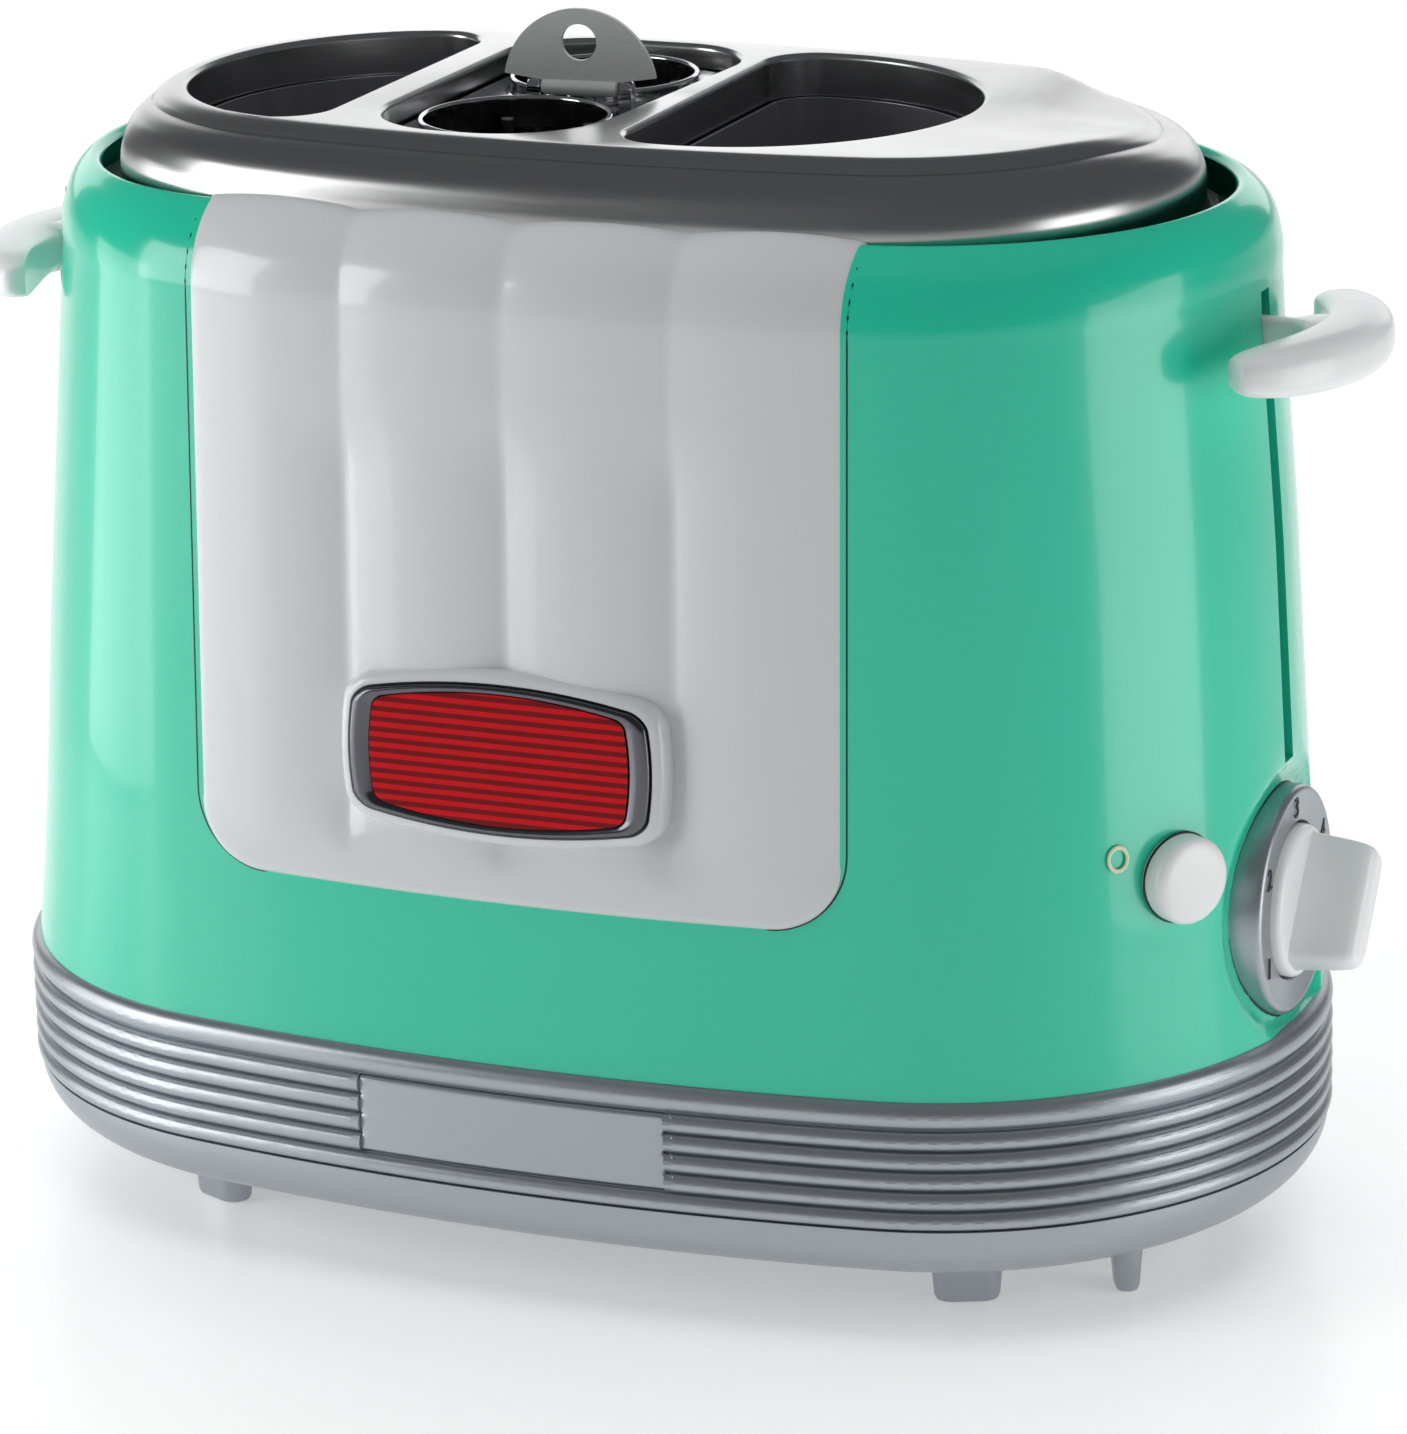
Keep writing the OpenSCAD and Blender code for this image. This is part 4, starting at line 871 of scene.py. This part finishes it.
def half_moon():
    """Lifting tab: a half-moon sheet with a finger hole, and its hinge barrel."""
    hole_z, hole_r, half_t = 8.4, 3.35, 0.5
    edge = arc(0, 0, TAB_R, 9, 171, 56) + [(-6.9, 1.2), (6.9, 1.2)]
    edge = [(x, max(z, 1.9)) if abs(x) > 7.2 else (x, z) for x, z in edge]
    hole = [(hole_r * c, hole_z + hole_r * s) for c, s in turns(48)]
    pts, tri = plate([edge, hole], 2.5)
    parts = [([tab_place(x, -half_t, z) for x, z in pts], tri)]
    parts.append(([tab_place(x, half_t, z) for x, z in pts], [t[::-1] for t in tri]))
    for loop, flip in ((edge, False), (hole, True)):
        parts.append(grid([[tab_place(x, y, z) for x, z in loop] for y in (-half_t, half_t)], flip=flip))
    v, f = join(parts)
    make("half_moon_tab", v, f, GRAINED, body="tab", sharp=30,
         replaces=("lifting_tab",))
    v, f = rod_along(-7.3, 7.3)
    make("tab_barrel", v, f, GRAINED, body="tab", sharp=30)


# ---------- levers ----------
def lever(sign, name, node, shift):
    """Rounded paddle bowed round the end of the body, with a neck through the slot."""
    foot_r, lean = END_R - TAPER * 50, 2.3 if sign < 0 else 0.9
    cx, mid, half_r, half_h, a_max = 97.5 + shift, 35.6, 6.7, 5.1, 49.0
    rows = []
    for t in lin(-90, 90, 44):
        a = a_max * math.sin(t * RAD)
        fat = math.cos(t * RAD) ** 0.36 if abs(t) < 89.9 else 0.0
        wide = half_r * fat * (0.94 + 0.06 * math.cos(t * RAD))
        row = []
        for c, s in turns(40):
            rr = mid + wide * signed_power(c, 0.72)
            z = RING_Z + half_h * fat * signed_power(s, 0.72)
            row.append((sign * (cx + rr * math.cos(a * RAD)), sign * rr * math.sin(a * RAD), z))
        rows.append(row)
    root = END_C + foot_r - lean + 0.5
    steps = ((108.0, 1.8, 4.3), (root, 1.8, 4.3), (root + 1.2, 2.6, 4.4), (root + 2.8, 4.4, 4.7),
             (root + 4.8, 6.6, 4.6), (root + 7, 8.0, 4.0))
    neck = []
    for x, hy, hz in steps:
        neck.append([(sign * x, sign * hy * signed_power(c, 0.5), RING_Z + hz * signed_power(s, 0.5))
                     for c, s in turns(32)])
    v, f = join([grid(rows), grid(neck)])

    def clear(p):
        """Keeps the inner side off the body's end where it is fullest on the way down."""
        x = END_C + math.sqrt(foot_r ** 2 - p[1] ** 2) - lean + 0.9
        return p if abs(p[1]) < 2.3 or abs(p[0]) > x else (sign * x, p[1], p[2])

    v = [clear(p) for p in v]
    make(name, v, f, WHITE, body="carriage", sharp=0, replaces=(node,))


# ---------- dial, knob, button ----------
DX, DR, KR = 123.5, 20.6, 13.9
NUMBER_R, NUMBER_SIZE = 17.3, 5.6
GRIP_TURN, GRIP_HALF = 36, 4.5
dial = frame_at((0, 0, DIAL_Z), 0)


def dial_face():
    prof = [(DR + 0.35, DX - 19), (DR + 0.35, DX - 1.2), (DR + 0.2, DX - 0.6), (DR - 0.1, DX - 0.15),
            (DR - 0.6, DX), (DR - 1.1, DX - 0.05), (DR - 1.3, DX - 0.2), (KR + 1.0, DX - 0.2),
            (KR + 0.6, DX - 0.5), (KR + 0.5, DX - 1), (KR + 0.5, DX - 17)]
    v, f = revolve(prof, dial, 128)
    make("dial_face", v, f, SATIN, sharp=40, replaces=("dial_ring",))
    # black disc under the knob, seen through the gap round it: painted shade in the gap
    v, f = revolve([(KR + 0.5, DX - 3.2), (2.0, DX - 3.2)], dial, 64)
    make("dial_well_shade", v, f, BLACK, sharp=30)


def numeral(txt, ang, n):
    """A plain number on the dial's face; ang is from the top towards -Y."""
    cu = bpy.data.curves.new("numeral_curve_%d" % n, "FONT")
    cu.body = txt
    cu.size, cu.align_x, cu.align_y, cu.extrude = NUMBER_SIZE * 0.001, "CENTER", "CENTER", 0.00012
    tmp = bpy.data.objects.new("tmp", cu)
    bpy.context.scene.collection.objects.link(tmp)
    bpy.context.view_layer.update()
    me = bpy.data.meshes.new_from_object(tmp.evaluated_get(bpy.context.evaluated_depsgraph_get()))
    bpy.data.objects.remove(tmp)
    x, y, z = DX - 0.14, -NUMBER_R * math.sin(ang * RAD), DIAL_Z + NUMBER_R * math.cos(ang * RAD)
    # letters lie in local XY: local x goes to +Y, local y to +Z, and they face +X
    me.transform(Matrix(((0, 0, 1, x * 0.001), (1, 0, 0, y * 0.001), (0, 1, 0, z * 0.001), (0, 0, 0, 1))))
    me.materials.clear()
    me.materials.append(INK)
    ob = bpy.data.objects.new("dial_number_%d" % n, me)
    bpy.context.scene.collection.objects.link(ob)
    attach(ob, "housing")


def grip():
    """Grip bar: a rounded block across the disc, turned to the off mark."""
    g = GRIP_TURN * RAD
    steps = ((1.2, 1.0, 1.06), (2.4, 0.975, 1.02), (5, 0.955, 0.98), (9.0, 0.925, 0.93), (11.5, 0.895, 0.88),
             (12.8, 0.86, 0.80), (13.5, 0.80, 0.66), (13.85, 0.72, 0.45), (13.9, 0.55, 0.2))
    rows = []
    for x, long, wide in steps:
        row = []
        for c, s in turns(72):
            l = (KR - 1.2) * long * signed_power(c, 0.30)
            d = GRIP_HALF * wide * signed_power(s, 0.42)
            # along runs from low (-Y) to high (+Y); across is square to it
            y, z = l * math.sin(g) + d * math.cos(g), l * math.cos(g) - d * math.sin(g)
            row.append((DX + x, y, DIAL_Z + z))
        rows.append(row)
    v, f = grid(rows, flip=True)
    cap(v, f, len(rows) - 1, 72, up=False)
    return v, f


def knob():
    prof = [(KR - 0.3, DX - 15.9), (KR, DX - 15.5), (KR, DX + 0.3), (KR - 0.25, DX + 1.0),
            (KR - 0.8, DX + 1.45), (KR - 1.7, DX + 1.6), (KR - 5, DX + 1.7)]
    v, f = revolve(prof, dial, 96)
    cap(v, f, len(prof) - 1, 96, up=True)
    v, f = join([(v, f), grip()])
    make("knob", v, f, WHITE, body="knob", sharp=50, replaces=("timer_knob",))


# The stop button: its height and angle on the dial end, its radius, and the wall's radius there
BUTTON_H, BUTTON_AZ, BUTTON_R = 36.0, -31.3, 7.9
BUTTON_WALL = END_R - TAPER * BUTTON_H
MARK_H, MARK_AZ = 41.6, -42.4


def button():
    r, w = BUTTON_R, BUTTON_WALL
    prof = [(r + 1.2, w - 4.4), (r + 1.2, w - 3.4), (r, w - 3.2), (r, w + 2.4), (r - 0.25, w + 3.2),
            (r - 0.9, w + 3.75), (r - 2.0, w + 4.0), (r - 5, w + 4.15)]
    v, f = revolve(prof, frame_at((END_C, 0, SEAM + BUTTON_H), BUTTON_AZ), 80)
    cap(v, f, len(prof) - 1, 80, up=True)
    make("button_cap", v, f, WHITE, body="button", sharp=50, replaces=("stop_button",))


def on_shell(angle, z, out):
    """A point on the dial end's wall."""
    r = END_R - TAPER * (z - SEAM) + out
    return (END_C + r * math.cos(angle * RAD), r * math.sin(angle * RAD), z)


def shell_ring(az, cz, r_in, r_out, out, squash=1.0, n=64):
    """A thin flat ring laid on the dial end's wall."""
    wall_r = END_R - TAPER * (cz - SEAM)
    rows = []
    for r, o in ((r_in, out - 0.25), (r_in + 0.1, out), (r_out - 0.1, out), (r_out, out - 0.25)):
        row = [(az + math.degrees(r * squash * c / wall_r), cz + r * s) for c, s in turns(n)]
        rows.append([on_shell(angle, z, o) for angle, z in row])
    return grid(rows, flip=True)


def marks():
    """Black rings round the button and round the dial, painted shade standing in for the shadow in their
    gaps, and the off mark beside the button.
    """
    # a black ring on the wall round the button: painted shade of its gap
    v, f = shell_ring(BUTTON_AZ, SEAM + BUTTON_H, BUTTON_R - 0.2, BUTTON_R + 0.35, 0.10)
    make("button_gap_shade", v, f, BLACK, sharp=0)
    v, f = shell_ring(MARK_AZ, SEAM + MARK_H, 1.75, 2.5, 0.06, squash=0.86)
    make("off_mark", v, f, CREAM, sharp=0)
    # a black ring on the wall round the dial: painted shade of its gap
    v, f = shell_ring(0, DIAL_Z, DR + 0.1, DR + 0.75, 0.10, n=96)
    v = [lean_ends(p) for p in v]
    make("dial_gap_shade", v, f, BLACK, sharp=0)


# ---------- back: cord inlet and crumb tray ----------
def cord_inlet():
    steps = ((7.6, -6.9), (6.0, -4.6), (6.0, 1.9), (7.7, 2.0), (8.0, 2.4), (8.0, 3.4), (7.5, 3.9), (4.2, 4.0),
             (3.6, 3.6), (3.6, -7.8))
    v, f = revolve([(r, END_R + o) for r, o in steps], frame_at((END_C, 0, INLET_Z), INLET_AZ), 64)
    make("cord_inlet", v, f, BLACK, sharp=35, replaces=("cord_gland",))


def tray_pan():
    """Crumb tray: its curved front with a finger dip, and the open box behind it."""
    front_half, low, dip, dip_half = 58.0, PAN_TOP + 1.5, 2.2, 14
    xs = lin(-front_half + 0.2, front_half - 0.2, 48)
    rows = []
    for h, o in ((0.1, -1.0), (0.15, 0.9), (0.5, 1.35), (4.0, 1.4), (8.5, 1.35), (8.85, 0.9), (8.9, -1.0),
                 (8.9, -5.0)):
        deep = [dip if abs(x) < dip_half and h < 4.1 else 0 for x in xs]
        back = [-SIDE_C + math.sqrt((SIDE_R + o) ** 2 - x * x) for x in xs]
        rows.append([(x, y - d, low + h) for x, y, d in zip(xs, back, deep)])
    front = grid(rows, close_u=False, flip=True)
    half_x, y0, y1, wall, sole, top = 57.0, -46.0, 66.0, 1, 0.9, 7.5
    box = []
    for inset, h in ((0, 0), (0, top), (wall, sole), (wall, top)):
        x, ya, yb, z = half_x - inset, y0 + inset, y1 - inset, low + h
        box += [(-x, ya, z), (x, ya, z), (x, yb, z), (-x, yb, z)]
    faces = [(3, 2, 1, 0), (8, 9, 10, 11)]
    for i in range(4):
        j = (i + 1) % 4
        faces += [(i, j, j + 4, i + 4), (j + 8, i + 8, i + 12, j + 12), (i + 4, j + 4, j + 12, i + 12)]
    v, f = join([front, (box, faces)])
    make("tray_pan", v, f, ZINC, body="tray", sharp=30, replaces=("crumb_tray",))


pan_bowl()
ribbed_ring()
bare_plate()
feet()
mint_shell()
fluted_panel()
panel_gap_shade()
badge_trim()
badge_face()
steel_lid()
liner("well_liner_left", left_well, -66.0, "bun_liner_left")
liner("well_liner_right", right_well, 36.0, "bun_liner_right")
basket_top()
half_moon()
lever(-1, "paddle_left", "lever_left", -5.2)
lever(1, "paddle_right", "lever_right", -0.6)
dial_face()
for i, ang in enumerate((119, 61, 0, -61, -119)):
    numeral(str(i + 1), ang, i + 1)
knob()
button()
marks()
cord_inlet()
tray_pan()

# ---------- finishes of the CAD's own pieces ----------
FINISHES = (
    (SATIN, "base_pan base_ring"),
    (ZINC, "chassis_plate upper_plate basket_guides heat_shield_left heat_shield_right timer_pot"),
    (ZINC, "carriage_frame"),
    (ROD, "base_screws guide_rod_left guide_rod_right return_spring_left return_spring_right button_spring"),
    (ROD, "armature bun_rest_left bun_rest_right cage_rods cage_hoops_front cage_hoops_back cage_floor"),
    (ROD, "tab_pin timer_shaft"),
    (BUSH, "button_guide bush_left bush_right"),
    (COPPER, "electromagnet"),
    (BOARD, "control_board"),
    (PALE, "terminal_block"),
)
FINISH = {name: mat for mat, names in FINISHES for name in names.split()}
KINDS = {"board": MICA, "heater": RIBBON}
for name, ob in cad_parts.items():
    mat = FINISH.get(name) or KINDS.get(name.split("_")[0])
    if mat:
        ob.data.materials.clear()
        ob.data.materials.append(mat)

# ---------- floor, light, camera ----------
floor_mat = bpy.data.materials.new("floor")
floor_mat.use_nodes = True
fb = floor_mat.node_tree.nodes["Principled BSDF"]
fb.inputs["Base Color"].default_value = (0.92, 0.92, 0.92, 1)
fb.inputs["Roughness"].default_value = 0.32
fb.inputs["Emission Color"].default_value = (1, 1, 1, 1)
fb.inputs["Emission Strength"].default_value = 0.30
me = bpy.data.meshes.new("floor")
me.from_pydata([(-9, -5, 0), (9, -5, 0), (9, 14, 0), (-9, 14, 0)], [], [(0, 1, 2, 3)])
floor = bpy.data.objects.new("floor", me)
me.materials.append(floor_mat)
bpy.context.scene.collection.objects.link(floor)


def area(name, loc, aim, sx, sy, power, color=(1, 1, 1)):
    li = bpy.data.lights.new(name, "AREA")
    li.shape, li.size, li.size_y, li.energy, li.color = "RECTANGLE", sx, sy, power, color
    ob = bpy.data.objects.new(name, li)
    ob.location = loc
    ob.rotation_mode = "QUATERNION"
    ob.rotation_quaternion = (Vector(aim) - Vector(loc)).to_track_quat("-Z", "Y")
    bpy.context.scene.collection.objects.link(ob)
    return ob


area("behind", (-0.95, 2.1, 0.70), (0, 0, 0.2), 3.2, 1.1, 15)
over = area("top", (0.0, 0.1, 2.0), (0, 0.0, 0.0), 2.4, 2.0, 23)
over.visible_glossy = False
area("left", (-0.95, -0.75, 0.40), (0, 0, 0.12), 0.5, 0.75, 5)
area("left_card", (-0.40, -0.13, 0.115), (-0.1, -0.04, 0.115), 0.24, 0.22, 0.35)
area("right_card", (0.39, -0.03, 0.115), (0.1, -0.03, 0.115), 0.20, 0.22, 0.32)

world = bpy.data.worlds.new("world")
bpy.context.scene.world = world
world.use_nodes = True
world.node_tree.nodes["Background"].inputs["Color"].default_value = (0.95, 0.97, 1.0, 1)
world.node_tree.nodes["Background"].inputs["Strength"].default_value = 0.12
bpy.context.scene.view_settings.view_transform = "Standard"

# The camera is fitted to the photo: where it looks from and at, its turn, its place and its focal length
AZ, EL, ROLLA = 23.5404 * RAD, 17.1807 * RAD, -1.3962 * RAD
CAM_X, CAM_Y, CAM_Z = 0.4710876, -1.0633726, 0.4032191 + 0.04595
PHOTO_W, FOCAL_PX, SENSOR = 1407, 6537.35, 36
back = Vector((math.sin(AZ) * math.cos(EL), -math.cos(AZ) * math.cos(EL), math.sin(EL)))
right = Vector((math.cos(AZ), math.sin(AZ), 0))
up = back.cross(right)
right, up = math.cos(ROLLA) * right + math.sin(ROLLA) * up, -math.sin(ROLLA) * right + math.cos(ROLLA) * up
cam_data = bpy.data.cameras.new("camera")
cam_data.sensor_fit, cam_data.sensor_width = "HORIZONTAL", SENSOR
cam_data.lens = FOCAL_PX * SENSOR / PHOTO_W
cam_data.clip_end = 60
cam = bpy.data.objects.new("camera", cam_data)
bpy.context.scene.collection.objects.link(cam)
cam.matrix_world = Matrix((
    (right.x, up.x, back.x, CAM_X), (right.y, up.y, back.y, CAM_Y),
    (right.z, up.z, back.z, CAM_Z), (0, 0, 0, 1)))
bpy.context.scene.camera = cam
